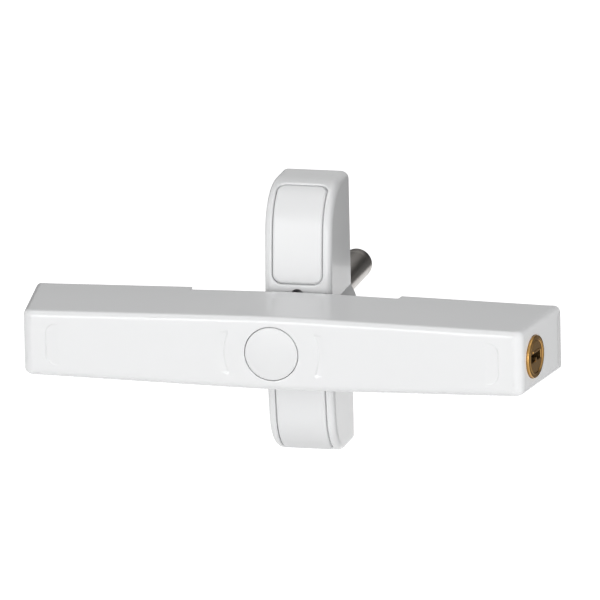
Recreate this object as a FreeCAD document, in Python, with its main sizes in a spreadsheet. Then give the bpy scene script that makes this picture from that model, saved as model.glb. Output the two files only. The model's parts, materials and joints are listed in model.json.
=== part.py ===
import FreeCAD, Part
import math
import os
import re

import Sketcher
from FreeCAD import Placement, Rotation, Vector

# Window security lock: an upright base on one sash, and a long bar that turns on it and locks.
# The origin is on the pivot axis in the plane of the sash. +X points to the lock end of the bar,
# +Y into the window and +Z up. A stand-off is a distance from the sash towards the room, so Y is
# minus the stand-off.

os.makedirs("parts", exist_ok=True)
doc = FreeCAD.newDocument("window_security_lock")
sheet = doc.addObject("Spreadsheet::Sheet", "Sizes")

DIMENSIONS = [
    # Base housing
    ("base_half_length", 74.2),
    ("base_width", 36.6),
    ("base_edge_radius", 4.0),
    ("base_wall", 3.0),
    ("bow_apex", 44.5),
    ("bow_radius", 400.0),
    ("end_roll_radius", 26.0),
    ("hub_blend_radius", 6.0),
    ("hub_front", 43.4),
    ("hub_wall", 2.0),
    ("hub_face_wall", 3.0),
    ("boss_radius", 10.6),
    # Screw covers
    ("cover_width", 27.0),
    ("cover_inner_end", 22.8),
    ("cover_end_margin", 3.6),
    ("cover_thickness", 2.4),
    ("cover_corner_radius", 5.0),
    ("cover_gap", 0.35),
    ("access_width", 23.0),
    ("access_gap", 0.4),
    ("access_outer_margin", 17.0),
    ("clip_width", 10.0),
    ("clip_thickness", 1.6),
    ("clip_depth", 6.0),
    ("clip_gap", 0.2),
    # Base plate and its fixings
    ("plate_thickness", 4.0),
    ("plate_gap", 0.3),
    ("fixing_spacing_x", 13.0),
    ("fixing_spacing_z", 96.0),
    ("fixing_hole_radius", 2.6),
    ("housing_screw_spacing", 58.0),
    ("housing_screw_radius", 2.0),
    ("housing_screw_head_radius", 3.6),
    ("housing_screw_head_height", 2.2),
    ("housing_boss_radius", 4.2),
    ("housing_screw_bite", 9.0),
    ("thread_fit", 0.02),
    ("screw_clearance", 0.2),
    # Index plate and hub
    ("index_thickness", 6.0),
    ("index_circle_radius", 16.6),
    ("index_hole_radius", 3.4),
    ("index_hole_count", 4),
    ("index_web", 0.8),
    ("index_screw_circle_radius", 16.4),
    ("index_screw_angle", 135.0),
    ("index_screw_radius", 1.5),
    ("index_screw_head_radius", 2.8),
    ("index_screw_head_height", 1.8),
    ("index_screw_length", 12.0),
    ("hub_fit", 0.2),
    ("stop_pin_radius", 1.9),
    ("stop_pin_circle_radius", 12.6),
    ("stop_pin_angle", 225.0),
    ("stop_pin_reach", 3.2),
    # Pivot
    ("shaft_radius", 8.0),
    ("shaft_flange_radius", 14.0),
    ("shaft_flange_thickness", 4.0),
    ("thread_radius", 6.0),
    ("thread_length", 13.0),
    ("bush_wall", 2.0),
    ("bush_length", 34.0),
    ("running_fit", 0.05),
    ("thrust_washer_width", 1.9),
    ("thrust_washer_thickness", 2.3),
    ("wave_washer_thickness", 0.8),
    ("wave_washer_radius", 11.0),
    ("retaining_washer_thickness", 2.0),
    ("retaining_washer_radius", 11.4),
    ("nut_width", 19.0),
    ("nut_height", 7.0),
    # Through-bolt
    ("rod_radius", 5.0),
    ("rod_grip", 22.0),
    ("sleeve_radius", 8.3),
    ("sleeve_start", 32.0),
    ("sleeve_length", 55.3),
    ("sleeve_bite", 22.0),
    ("sleeve_chamfer", 0.8),
    ("sleeve_socket_width", 8.0),
    ("sleeve_socket_depth", 5.0),
    # Bar
    ("bar_front_length", 269.8),
    ("bar_slant", 7.9),
    ("bar_mid_height", 39.8),
    ("end_drop", 2.35),
    ("bar_front", 101.6),
    ("bar_depth", 57.4),
    ("bar_wall", 2.5),
    ("bar_corner_radius", 6.0),
    ("bar_edge_radius", 3.2),
    ("relief_depth", 5.2),
    ("relief_length", 113.4),
    ("field_depth", 0.5),
    ("field_height", 22.8),
    ("field_outer_end", 122.9),
    ("field_inner_radius", 25.3),
    ("field_corner_radius", 4.0),
    ("cap_radius", 14.3),
    ("cap_gap", 0.3),
    ("cap_thickness", 2.2),
    ("cap_dome", 0.9),
    ("cap_skirt_depth", 6.0),
    ("cap_skirt_wall", 1.2),
    ("cap_skirt_inset", 0.6),
    ("cap_bead", 0.15),
    # Bar core, bearing plate and back plates
    ("core_thickness", 2.5),
    ("core_height", 29.6),
    ("core_left_end", 118.0),
    ("core_right_end", 104.0),
    ("core_fit", 0.2),
    ("block_left_end", 28.0),
    ("block_right_end", 10.9),
    ("block_screw_x", 23.0),
    ("block_screw_z", 6.5),
    ("bearing_thickness", 4.0),
    ("stop_travel", 90.0),
    ("stop_gap", 0.3),
    ("back_plate_thickness", 2.0),
    ("back_plate_inset", 1.6),
    ("back_screw_radius", 1.6),
    ("back_screw_head_radius", 2.6),
    ("back_screw_head_height", 1.2),
    ("back_screw_length", 9.0),
    ("back_boss_radius", 3.8),
    ("back_boss_height", 11.7),
    ("back_screw_margin", 12.0),
    ("buffer_length", 34.0),
    ("buffer_height", 16.0),
    ("buffer_thickness", 2.0),
    ("buffer_center", 98.0),
    # Lock cylinder
    ("lock_depth", 18.8),
    ("cylinder_radius", 11.4),
    ("cylinder_length", 30.0),
    ("cylinder_proud", 1.8),
    ("cylinder_fit", 0.1),
    ("cylinder_chamfer", 1.1),
    ("plug_radius", 8.6),
    ("plug_inset", 0.5),
    ("plug_neck_radius", 5.6),
    ("plug_neck_length", 1.2),
    ("plug_tail_radius", 3.0),
    ("ring_radius", 10.0),
    ("ring_gap", 0.1),
    ("key_width", 13.6),
    ("key_height", 4.2),
    ("key_depth", 24.0),
    ("key_rib_width", 1.9),
    ("key_rib_height", 1.7),
    ("bracket_start", 12.0),
    ("bracket_length", 14.0),
    ("bracket_half_depth", 14.4),
    ("bracket_half_height", 14.6),
    ("cylinder_screw_radius", 2.0),
    ("cylinder_screw_head_radius", 3.6),
    ("cylinder_screw_head_height", 2.4),
    ("cylinder_screw_bite", 2.8),
    # Cam, rod and pin
    ("cam_radius", 5.6),
    ("cam_length", 18.0),
    ("cam_slot_depth", 1.8),
    ("key_turn", 90.0),
    ("rod_travel", 5.0),
    ("peg_radius", 1.3),
    ("peg_start", 5.0),
    ("slot_clearance", 0.2),
    ("slide_gap", 0.3),
    ("rod_sleeve_start", 2.0),
    ("rod_sleeve_wall", 2.4),
    ("rod_sleeve_length", 20.0),
    ("rod_sleeve_floor", 3.0),
    ("rod_height", 9.4),
    ("rod_width", 7.0),
    ("rod_end_margin", 1.2),
    ("rod_guide_length", 14.0),
    ("rod_guide_wall", 3.0),
    ("rod_guide_reach", 78.0),
    ("pin_radius", 3.2),
    ("pin_travel", 8.0),
    ("pin_recess", 0.4),
    ("pin_tip_bevel", 0.6),
    ("pin_tail_thickness", 4.0),
    ("pin_tail_width", 9.6),
    ("pin_tail_margin", 2.4),
    ("pin_guide_radius", 5.4),
    ("pin_guide_length", 4.0),
    ("dowel_radius", 1.5),
]

ALIASES = set()
for row, (alias, number) in enumerate(DIMENSIONS, start=1):
    sheet.set("A%d" % row, alias)
    sheet.set("B%d" % row, str(number))
    sheet.setAlias("B%d" % row, alias)
    ALIASES.add(alias)
doc.recompute()

# Sizes that follow from the driving ones, written out in full wherever they are used.
DERIVED = {
    "index_back": "(hub_front - hub_face_wall - index_thickness)",
    "index_front": "(hub_front - hub_face_wall)",
    "hub_bore": "(index_circle_radius + index_hole_radius + index_web + hub_fit)",
    "hub_radius": "(hub_bore + hub_wall)",
    "bow_center": "(bow_apex - bow_radius)",
    "roll_z": "(base_half_length - end_roll_radius)",
    "roll_center": "(bow_center + sqrt(pow(bow_radius - end_roll_radius; 2) - pow(roll_z; 2)))",
    "cover_outer_end": "(base_half_length - cover_end_margin)",
    "access_start": "(housing_screw_spacing / 2 + housing_boss_radius + access_gap)",
    "bar_back": "(bar_front - bar_depth)",
    "relief_face": "(bar_back + relief_depth)",
    "bearing_front": "(relief_face + bearing_thickness)",
    "boss_front": "(relief_face - thrust_washer_thickness)",
    "hub_notch": "sqrt(pow(hub_radius; 2) - pow(base_width / 2; 2))",
    "inner_front": "(bar_front - bar_wall)",
    "half_front": "(bar_front_length / 2)",
    "half_rear": "(half_front + bar_depth * tan(bar_slant))",
    "inner_half": "(bar_end_height / 2 - bar_wall)",
    "bar_end_height": "(bar_mid_height - 2 * end_drop)",
    "bush_end": "(relief_face + bush_length)",
    "bush_radius": "(shaft_radius + bush_wall)",
    "shoulder": "(bush_end + wave_washer_thickness)",
    "nut_seat": "(shoulder + retaining_washer_thickness)",
    "core_front": "(inner_front - core_fit)",
    "core_inner": "(core_height / 2 - core_thickness)",
    "plate_back": "(bar_back + back_plate_inset)",
    "plate_front": "(plate_back + back_plate_thickness)",
    "back_end": "(half_rear - bar_wall / cos(bar_slant) - core_fit"
                " - (plate_front - bar_back) * tan(bar_slant))",
    "back_screw_x": "(half_rear - back_screw_margin)",
    "lock_x": "(half_front + lock_depth * tan(bar_slant))",
    "lock_y": "(lock_depth - bar_front)",
    "neck_end": "(cylinder_length + plug_neck_length)",
    "cam_end": "(neck_end + cam_length)",
    "sleeve_inside": "(cam_radius + slide_gap)",
    "sleeve_outside": "(sleeve_inside + rod_sleeve_wall)",
    "sleeve_near": "(neck_end + rod_sleeve_start)",
    "sleeve_far": "(sleeve_near + rod_sleeve_length)",
    "run_x": "(rod_travel * cos(bar_slant))",
    "run_y": "(pin_travel - rod_travel * sin(bar_slant))",
    "run": "(sqrt(pow(run_x; 2) + pow(run_y; 2)))",
    "dowel_x": "(index_circle_radius + run_x / 2)",
    "dowel_reach": "((lock_x - dowel_x) / cos(bar_slant))",
    "dowel_y": "(lock_y + dowel_reach * sin(bar_slant))",
    "dowel_slot": "(dowel_radius + slot_clearance)",
    "rod_end": "(dowel_reach + dowel_radius + rod_end_margin)",
    "fork_depth": "(index_circle_radius + pin_tail_width / 2 - dowel_x + run_x + rod_width / 4)",
    "fork_start": "(dowel_reach - fork_depth)",
    "pin_tip": "(bow_apex + pin_recess)",
    "tail_start": "(-(dowel_y) - dowel_slot - pin_tail_margin)",
    "tail_end": "(-(dowel_y) + run_y + dowel_slot + pin_tail_margin)",
}


def written_out(text):
    """Replace the derived names by what they stand for, and put the sheet's name before each alias."""
    while any(re.search(r"\b%s\b" % name, text) for name in DERIVED):
        for name, meaning in DERIVED.items():
            text = re.sub(r"\b%s\b" % name, meaning, text)
    words = re.compile(r"[A-Za-z_][A-Za-z_0-9]*")
    return words.sub(lambda found: prefixed(found.group(0)), text)


def prefixed(word):
    return "Sizes." + word if word in ALIASES else word


def value(text):
    """The present value of a formula of the sheet's names."""
    return float(sheet.evalExpression(written_out(text)))


def bind(item, path, text):
    item.setExpression(path, written_out(text))


# Sketches

PLANES = {
    "XY": Rotation(),
    "XZ": Rotation(Vector(1, 0, 0), 90),
    "YZ": Rotation(Vector(1, 1, 1), 120),
}


def new_body(label):
    body = doc.addObject("PartDesign::Body", label)
    body.Label = label
    return body


def new_sketch(body, name, plane, offset="0"):
    """A sketch on one of the body's own origin planes, moved along the plane's normal."""
    sketch = body.newObject("Sketcher::SketchObject", name)
    role = plane + "_Plane"
    origin_plane = [item for item in body.Origin.OriginFeatures if item.Role == role][0]
    sketch.AttachmentSupport = [(origin_plane, "")]
    sketch.MapMode = "FlatFace"
    bind(sketch, ".AttachmentOffset.Base.z", offset)
    return sketch


def pin_point(sketch, geometry, place, x, y):
    """Hold one point of a sketch at formulas for its two coordinates."""
    for kind, text in (("DistanceX", x), ("DistanceY", y)):
        rule = Sketcher.Constraint(kind, -1, 1, geometry, place, value(text))
        index = sketch.addConstraint(rule)
        bind(sketch, "Constraints[%d]" % index, text)


def add_circle(sketch, x, y, radius):
    center = Vector(value(x), value(y), 0)
    circle = Part.Circle(center, Vector(0, 0, 1), value(radius))
    geometry = sketch.addGeometry(circle, False)
    pin_point(sketch, geometry, 3, x, y)
    index = sketch.addConstraint(Sketcher.Constraint("Radius", geometry, value(radius)))
    bind(sketch, "Constraints[%d]" % index, radius)


def arc_between(start, end, radius):
    """An arc of less than a half circle. A positive radius has its centre left of start to end."""
    chord = end - start
    middle = start + chord * 0.5
    left = Vector(-chord.y, chord.x, 0)
    left.normalize()
    rise = math.sqrt(max(radius * radius - chord.Length ** 2 / 4, 0))
    center = middle + left * math.copysign(rise, radius)
    first, last = (start, end) if radius > 0 else (end, start)
    begin = math.atan2(first.y - center.y, first.x - center.x)
    finish = math.atan2(last.y - center.y, last.x - center.x)
    circle = Part.Circle(center, Vector(0, 0, 1), abs(radius))
    return Part.ArcOfCircle(circle, begin, finish)


def add_outline(sketch, corners):
    """A closed outline. A corner is (x, y), or (x, y, radius) where an arc runs to the next corner."""
    places = [Vector(value(corner[0]), value(corner[1]), 0) for corner in corners]
    ends = []
    for number, corner in enumerate(corners):
        start = places[number]
        end = places[(number + 1) % len(places)]
        if len(corner) == 3:
            radius = value(corner[2])
            geometry = sketch.addGeometry(arc_between(start, end, radius), False)
            size = corner[2] if radius > 0 else "-(%s)" % corner[2]
            index = sketch.addConstraint(Sketcher.Constraint("Radius", geometry, abs(radius)))
            bind(sketch, "Constraints[%d]" % index, size)
            ends.append((geometry, 1, 2) if radius > 0 else (geometry, 2, 1))
        else:
            geometry = sketch.addGeometry(Part.LineSegment(start, end), False)
            ends.append((geometry, 1, 2))
    for number, corner in enumerate(corners):
        geometry, begin, finish = ends[number]
        following = ends[(number + 1) % len(ends)]
        sketch.addConstraint(Sketcher.Constraint("Coincident", geometry, finish, following[0], following[1]))
        pin_point(sketch, geometry, begin, corner[0], corner[1])


def add_rectangle(sketch, x0, y0, x1, y1):
    add_outline(sketch, [(x0, y0), (x1, y0), (x1, y1), (x0, y1)])


def rounded_corners(x0, y0, x1, y1, radius):
    """The corners of a rectangle with quarter-round corners, for add_outline."""
    return [
        ("(%s) + (%s)" % (x0, radius), y0),
        ("(%s) - (%s)" % (x1, radius), y0, radius),
        (x1, "(%s) + (%s)" % (y0, radius)),
        (x1, "(%s) - (%s)" % (y1, radius), radius),
        ("(%s) - (%s)" % (x1, radius), y1),
        ("(%s) + (%s)" % (x0, radius), y1, radius),
        (x0, "(%s) - (%s)" % (y1, radius)),
        (x0, "(%s) + (%s)" % (y0, radius), radius),
    ]


# Features of a body

def volume_of(body):
    shape = body.Shape
    return 0.0 if shape.isNull() else shape.Volume


def add_feature(body, kind, name, sketch, length=None, middle=False, back=False):
    """A pad or pocket from a sketch. It has to change the body's volume the way its kind says."""
    before = volume_of(body)
    feature = body.newObject(kind, name)
    feature.Profile = sketch
    if length is None:
        feature.Type = "ThroughAll"
    else:
        bind(feature, "Length", length)
    if middle:
        feature.SideType = "Symmetric"
    feature.Reversed = back
    doc.recompute()
    change = volume_of(body) - before
    grows = kind in ("PartDesign::Pad", "PartDesign::Revolution")
    if (change <= 0) == grows:
        raise RuntimeError("%s in %s changes nothing" % (name, body.Label))
    return feature


def pad(body, name, sketch, length, middle=False, back=False):
    return add_feature(body, "PartDesign::Pad", name, sketch, length, middle, back)


def pocket(body, name, sketch, length=None, middle=False, back=False):
    return add_feature(body, "PartDesign::Pocket", name, sketch, length, middle, back)


def dress(body, kind, name, size, wanted, property_name="Radius"):
    """Round or bevel the edges of the body that the test picks out."""
    tip = body.Tip
    names = ["Edge%d" % (number + 1) for number, edge in enumerate(tip.Shape.Edges) if wanted(edge)]
    if not names:
        raise RuntimeError("%s in %s finds no edge" % (name, body.Label))
    feature = body.newObject(kind, name)
    feature.Base = (tip, names)
    bind(feature, property_name, size)
    doc.recompute()
    if "Invalid" in feature.State:
        raise RuntimeError("%s in %s has failed" % (name, body.Label))
    return feature


def round_edges(body, name, radius, wanted):
    return dress(body, "PartDesign::Fillet", name, radius, wanted)


def bevel_edges(body, name, size, wanted):
    return dress(body, "PartDesign::Chamfer", name, size, wanted, "Size")


PARALLEL_MARGIN = 1e-6
POSITION_MARGIN = 0.05


def runs_along(edge, axis):
    """Whether a straight edge runs along an axis."""
    if edge.Curve.TypeId != "Part::GeomLine":
        return False
    direction = edge.Curve.Direction
    return near(abs(direction.dot(axis)), 1, PARALLEL_MARGIN)


def middle_of(edge):
    return edge.valueAt((edge.FirstParameter + edge.LastParameter) / 2)


def near(number, target, margin=POSITION_MARGIN):
    return abs(number - target) < margin


AXIS_X = Vector(1, 0, 0)
AXIS_Y = Vector(0, 1, 0)
AXIS_Z = Vector(0, 0, 1)
INTO_WINDOW = Rotation(AXIS_X, -90)


# Turned and plain pieces from primitives

def stand(item, x="0", y="0", z="0", rotation=None):
    """Put a primitive at formulas for its place."""
    if rotation is not None:
        item.Placement = Placement(Vector(0, 0, 0), rotation)
    bind(item, ".Placement.Base.x", x)
    bind(item, ".Placement.Base.y", y)
    bind(item, ".Placement.Base.z", z)
    return item


def cylinder(name, radius, length, y="0", x="0", z="0", rotation=INTO_WINDOW):
    """A cylinder that starts at x, y, z and runs along +Y, unless another rotation is given."""
    item = doc.addObject("Part::Cylinder", name)
    bind(item, "Radius", radius)
    bind(item, "Height", length)
    return stand(item, x, y, z, rotation)


def cone(name, first, last, length, y="0", x="0", z="0", rotation=INTO_WINDOW):
    item = doc.addObject("Part::Cone", name)
    bind(item, "Radius1", first)
    bind(item, "Radius2", last)
    bind(item, "Height", length)
    return stand(item, x, y, z, rotation)


def block(name, width, depth, height, x, y, z):
    """A box from its centre in X and Z and its lowest Y."""
    item = doc.addObject("Part::Box", name)
    bind(item, "Length", width)
    bind(item, "Width", depth)
    bind(item, "Height", height)
    return stand(item, "(%s) - (%s) / 2" % (x, width), y, "(%s) - (%s) / 2" % (z, height))


def hexagon(name, across_flats, length, y, x="0", z="0"):
    item = doc.addObject("Part::Prism", name)
    item.Polygon = 6
    bind(item, "Circumradius", "(%s) / sqrt(3)" % across_flats)
    bind(item, "Height", length)
    return stand(item, x, y, z, INTO_WINDOW)


def cut(name, whole, *tools):
    tool = tools[0] if len(tools) == 1 else join(name + "_tools", *tools)
    item = doc.addObject("Part::Cut", name)
    item.Base = whole
    item.Tool = tool
    return item


def join(name, *parts):
    item = doc.addObject("Part::MultiFuse", name)
    item.Shapes = list(parts)
    return item


def overlap(name, *parts):
    item = doc.addObject("Part::MultiCommon", name)
    item.Shapes = list(parts)
    return item


def ring(name, outer, inner, length, y, x="0", z="0"):
    whole = cylinder(name + "_outside", outer, length, y, x, z)
    hole = cylinder(name + "_hole", inner, length, y, x, z)
    return cut(name, whole, hole)


def group(name, parts):
    """One or more solids that make up one node."""
    item = doc.addObject("Part::Compound", name)
    item.Links = parts
    return item


PIECES = []


def finished(item, label):
    item.Label = label
    PIECES.append(item)
    return item


# Base housing: two bowed arms with rolled ends and a round hub, hollow from the back

def bow(z, drop="0"):
    """The stand-off at a height of the bowed front, or of a surface a drop below it."""
    return "(bow_center + sqrt(pow(bow_radius - (%s); 2) - pow(%s; 2)))" % (drop, z)


def roll(z, drop="0"):
    """The stand-off at a height of the front's rolled end, or of a surface a drop below it."""
    return "(roll_center + sqrt(pow(end_roll_radius - (%s); 2) - pow(%s - roll_z; 2)))" % (drop, z)


def turn_height(drop):
    """The height where the bow meets the rolled end, on a surface a drop below the front."""
    return "((bow_radius - (%s)) * roll_z / (bow_radius - end_roll_radius))" % drop


def side_profile(sketch, drop):
    """The side view of the arms in Y and Z: a bowed front that rolls over into two flat ends."""
    end = "(base_half_length - (%s))" % drop
    high = turn_height(drop)
    front = "-" + bow(high, drop)
    bend = "-(end_roll_radius - (%s))" % drop
    add_outline(sketch, [
        ("0", end),
        ("0", "-" + end),
        ("-(roll_center)", "-" + end, bend),
        (front, "-" + high, "-(bow_radius - (%s))" % drop),
        (front, high, bend),
        ("-(roll_center)", end),
    ])


def housing_outline(sketch):
    """The front view of the base's sides: a strip with a round hub in its middle."""
    half = "base_width / 2"
    high = "(base_half_length + base_width)"
    add_outline(sketch, [
        (half, "hub_notch"),
        (half, high),
        ("-" + half, high),
        ("-" + half, "hub_notch", "hub_radius"),
        ("-" + half, "-hub_notch"),
        ("-" + half, "-" + high),
        (half, "-" + high),
        (half, "-hub_notch", "hub_radius"),
    ])


def build_base_housing():
    body = new_body("housing_casting")
    sketch = new_sketch(body, "housing_side", "YZ")
    side_profile(sketch, "0")
    pad(body, "housing_bow", sketch, "2 * hub_radius", middle=True)
    sketch = new_sketch(body, "housing_front_view", "XZ")
    housing_outline(sketch)
    add_rectangle(sketch, "-base_half_length", "-2 * base_half_length", "base_half_length",
                  "2 * base_half_length")
    pocket(body, "housing_outside", sketch, middle=True)
    half_width = value("base_width / 2")
    notch = value("hub_notch")
    round_edges(body, "housing_hub_blends", "hub_blend_radius",
                lambda edge: runs_along(edge, AXIS_Y) and near(abs(middle_of(edge).x), half_width)
                and near(abs(middle_of(edge).z), notch))
    half_length = value("base_half_length")
    round_edges(body, "housing_front_edge", "base_edge_radius",
                lambda edge: not runs_along(edge, AXIS_X) and not near(middle_of(edge).y, 0)
                and (near(abs(middle_of(edge).z), half_length) or not runs_along(edge, AXIS_Y)))
    sketch = new_sketch(body, "housing_boss", "XZ", "hub_front - hub_face_wall")
    add_circle(sketch, "0", "0", "boss_radius")
    pad(body, "housing_boss_pad", sketch, "boss_front - hub_front + hub_face_wall")
    sketch = new_sketch(body, "housing_cavity", "YZ")
    side_profile(sketch, "base_wall")
    pocket(body, "housing_cavity_pocket", sketch, "base_width - 2 * base_wall", middle=True)
    sketch = new_sketch(body, "housing_hub_bore", "XZ")
    add_circle(sketch, "0", "0", "hub_radius - hub_wall")
    pocket(body, "housing_hub_pocket", sketch, "index_front", back=True)
    sketch = new_sketch(body, "housing_bearing_hole", "XZ")
    add_circle(sketch, "0", "0", "shaft_radius + hub_fit")
    add_circle(sketch, "stop_pin_circle_radius * cos(stop_pin_angle)",
               "stop_pin_circle_radius * sin(stop_pin_angle)", "stop_pin_radius + hub_fit")
    pocket(body, "housing_bearing_pocket", sketch, middle=True)
    index_holes(body, "housing")
    seats = []
    for name, sign in (("upper", ""), ("lower", "-")):
        access_opening(body, name, sign)
        housing_boss(body, name, sign)
        seats.append(bowed_slab(name + "_seat", sign, "cover_gap", "-cover_thickness"))
    return finished(cut("housing_with_seats", body, *seats), "base_housing")


def index_holes(body, name):
    """The round row of holes that the lock pin can enter."""
    sketch = new_sketch(body, name + "_index_hole", "XZ")
    add_circle(sketch, "index_circle_radius", "0", "index_hole_radius")
    hole = pocket(body, name + "_index_pocket", sketch, middle=True)
    pattern = body.newObject("PartDesign::PolarPattern", name + "_index_pattern")
    pattern.Originals = [hole]
    pattern.Axis = (sketch, ["N_Axis"])
    pattern.Angle = 360
    bind(pattern, "Occurrences", "index_hole_count")
    body.Tip = pattern
    doc.recompute()


def cover_band(sketch, sign, inner, outer, top, drop):
    """The side view of a band that follows the bowed front between two heights."""
    low, high = ("%s(%s)" % (sign, inner), "%s(%s)" % (sign, outer))
    ahead, back = ("-", "") if sign == "" else ("", "-")
    floor_turn, top_turn = (turn_height(drop), turn_height(top))
    add_outline(sketch, [
        ("-" + bow(inner, drop), low, "%s(bow_radius - (%s))" % (ahead, drop)),
        ("-" + bow(floor_turn, drop), sign + floor_turn, "%s(end_roll_radius - (%s))" % (ahead, drop)),
        ("-" + roll(outer, drop), high),
        ("-" + roll(outer, top), high, "%s(end_roll_radius - (%s))" % (back, top)),
        ("-" + bow(top_turn, top), sign + top_turn, "%s(bow_radius - (%s))" % (back, top)),
        ("-" + bow(inner, top), low),
    ])


def bowed_slab(name, sign, gap, top):
    """A bowed band with round corners: a screw cover, or its sunk seat when it gets a gap and a top."""
    inner = "(cover_inner_end - %s)" % gap
    outer = "(cover_outer_end + %s)" % gap
    width = "(cover_width + 2 * %s)" % gap
    band = new_body(name + "_band")
    sketch = new_sketch(band, name + "_side", "YZ")
    cover_band(sketch, sign, inner, outer, top, "cover_thickness")
    pad(band, name + "_band_pad", sketch, width, middle=True)
    shape = new_body(name + "_outline")
    sketch = new_sketch(shape, name + "_front", "XZ")
    low, high = sorted([sign + inner, sign + outer], key=value)
    half = "%s / 2" % width
    add_outline(sketch, rounded_corners("-" + half, low, half, high, "cover_corner_radius"))
    pad(shape, name + "_outline_pad", sketch, "2 * hub_front")
    return overlap(name + "_slab", band, shape)


def access_opening(body, name, sign):
    """The opening under a screw cover that lets a screwdriver in."""
    sketch = new_sketch(body, name + "_access", "XZ", "plate_thickness")
    heights = ["%saccess_start" % sign,
               "%s(cover_outer_end - access_outer_margin)" % sign]
    low, high = sorted(heights, key=value)
    add_rectangle(sketch, "-access_width / 2", low, "access_width / 2", high)
    pocket(body, name + "_access_pocket", sketch, back=True)


def housing_boss(body, name, sign):
    """A boss that runs down to the base plate and takes a screw from behind."""
    sketch = new_sketch(body, name + "_boss", "XZ", "plate_thickness")
    height = "%s(housing_screw_spacing / 2)" % sign
    add_circle(sketch, "0", height, "housing_boss_radius")
    pad(body, name + "_boss_pad", sketch, bow("cover_inner_end", "cover_thickness") + " - plate_thickness")
    sketch = new_sketch(body, name + "_boss_hole", "XZ", "plate_thickness")
    add_circle(sketch, "0", height, "housing_screw_radius")
    pocket(body, name + "_boss_pocket", sketch, "housing_screw_bite", back=True)


build_base_housing()


# Screw covers: bowed plates with clips that go down through the openings in the housing

def build_screw_cover(name, sign):
    slab = bowed_slab(name, sign, "0", "0")
    inner = "(access_start + clip_gap)"
    outer = "(cover_outer_end - access_outer_margin - clip_gap)"
    parts = [slab]
    for place, start, end in (
        ("inner", inner, inner + " + clip_thickness"),
        ("outer", outer + " - clip_thickness", outer),
    ):
        clip = new_body("%s_%s_clip" % (name, place))
        low, high = sorted(["%s(%s)" % (sign, start), "%s(%s)" % (sign, end)], key=value)
        under = bow(end, "cover_thickness")
        sketch = new_sketch(clip, "%s_%s_foot" % (name, place), "XZ", under + " - clip_depth")
        add_rectangle(sketch, "-clip_width / 2", low, "clip_width / 2", high)
        pad(clip, "%s_%s_pad" % (name, place), sketch, "clip_depth + cover_thickness / 2")
        parts.append(clip)
    return finished(join(name + "_solid", *parts), name)


build_screw_cover("upper_screw_cover", "")
build_screw_cover("lower_screw_cover", "-")


# Base plate with the four fixing holes, and the two screws that hold the housing to it

def build_base_plate():
    body = new_body("base_plate")
    half_width = "(base_width / 2 - base_wall - plate_gap)"
    half_length = "(base_half_length - base_wall - plate_gap)"
    sketch = new_sketch(body, "plate_outline", "XZ")
    add_rectangle(sketch, "-" + half_width, "-" + half_length, half_width, half_length)
    pad(body, "plate_strip", sketch, "plate_thickness")
    sketch = new_sketch(body, "plate_disc", "XZ")
    add_circle(sketch, "0", "0", "hub_bore - plate_gap")
    pad(body, "plate_disc_pad", sketch, "plate_thickness")
    sketch = new_sketch(body, "plate_holes", "XZ")
    for side in ("", "-"):
        for end in ("", "-"):
            add_circle(sketch, side + "fixing_spacing_x / 2", end + "fixing_spacing_z / 2",
                       "fixing_hole_radius")
        add_circle(sketch, "0", side + "housing_screw_spacing / 2", "housing_screw_radius + screw_clearance")
    add_circle(sketch, "0", "0", "rod_radius + plate_gap")
    pocket(body, "plate_hole_pocket", sketch, middle=True)
    sketch = new_sketch(body, "plate_sinks", "XZ")
    for side in ("", "-"):
        add_circle(sketch, "0", side + "housing_screw_spacing / 2",
                   "housing_screw_head_radius + screw_clearance")
    pocket(body, "plate_sink_pocket", sketch, "housing_screw_head_height + screw_clearance", back=True)
    return finished(body, "base_plate")


def headed_screw(name, radius, length, head_radius, head_height, y, x, z, facing=1):
    """A screw along Y whose head's outer face is at y. Facing 1 points its tip towards the room."""
    turn = Rotation(AXIS_X, 90) if facing == 1 else INTO_WINDOW
    head = cylinder(name + "_head", head_radius, head_height, y, x, z, turn)
    shank = cylinder(name + "_shank", radius, length, y, x, z, turn)
    return join(name, head, shank)


build_base_plate()
screws = [
    headed_screw("housing_screw_%d" % number, "housing_screw_radius - thread_fit",
                 "plate_thickness + housing_screw_bite - screw_clearance", "housing_screw_head_radius",
                 "housing_screw_head_height", "0", "0", side + "housing_screw_spacing / 2")
    for number, side in enumerate(("", "-"), start=1)
]
finished(group("housing_screw_pair", screws), "housing_screws")


# Hub: spacer, index plate with the lock pin's holes, its screws and the stop pin

def index_screw_place(side):
    """Where an index plate screw stands, in X and Z."""
    return ("%sindex_screw_circle_radius * cos(index_screw_angle)" % side,
            "%sindex_screw_circle_radius * sin(index_screw_angle)" % side)


STOP_X = "stop_pin_circle_radius * cos(stop_pin_angle)"
STOP_Z = "stop_pin_circle_radius * sin(stop_pin_angle)"

spacer = cylinder("spacer_outside", "hub_bore - hub_fit", "index_back - plate_thickness", "-(index_back)")
spacer_bore = cylinder("spacer_bore", "shaft_radius + hub_fit", "index_back", "-(index_back)")
spacer_sink = cylinder("spacer_flange_seat", "shaft_flange_radius + hub_fit",
                       "shaft_flange_thickness + hub_fit",
                       "-(plate_thickness + shaft_flange_thickness + hub_fit)")
spacer_holes = [
    cylinder("spacer_screw_hole_%d" % number, "index_screw_radius", "index_screw_length",
             "-(index_front)", *index_screw_place(side))
    for number, side in enumerate(("", "-"), start=1)
]
finished(cut("spacer", spacer, spacer_bore, spacer_sink, *spacer_holes), "hub_spacer")


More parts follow.
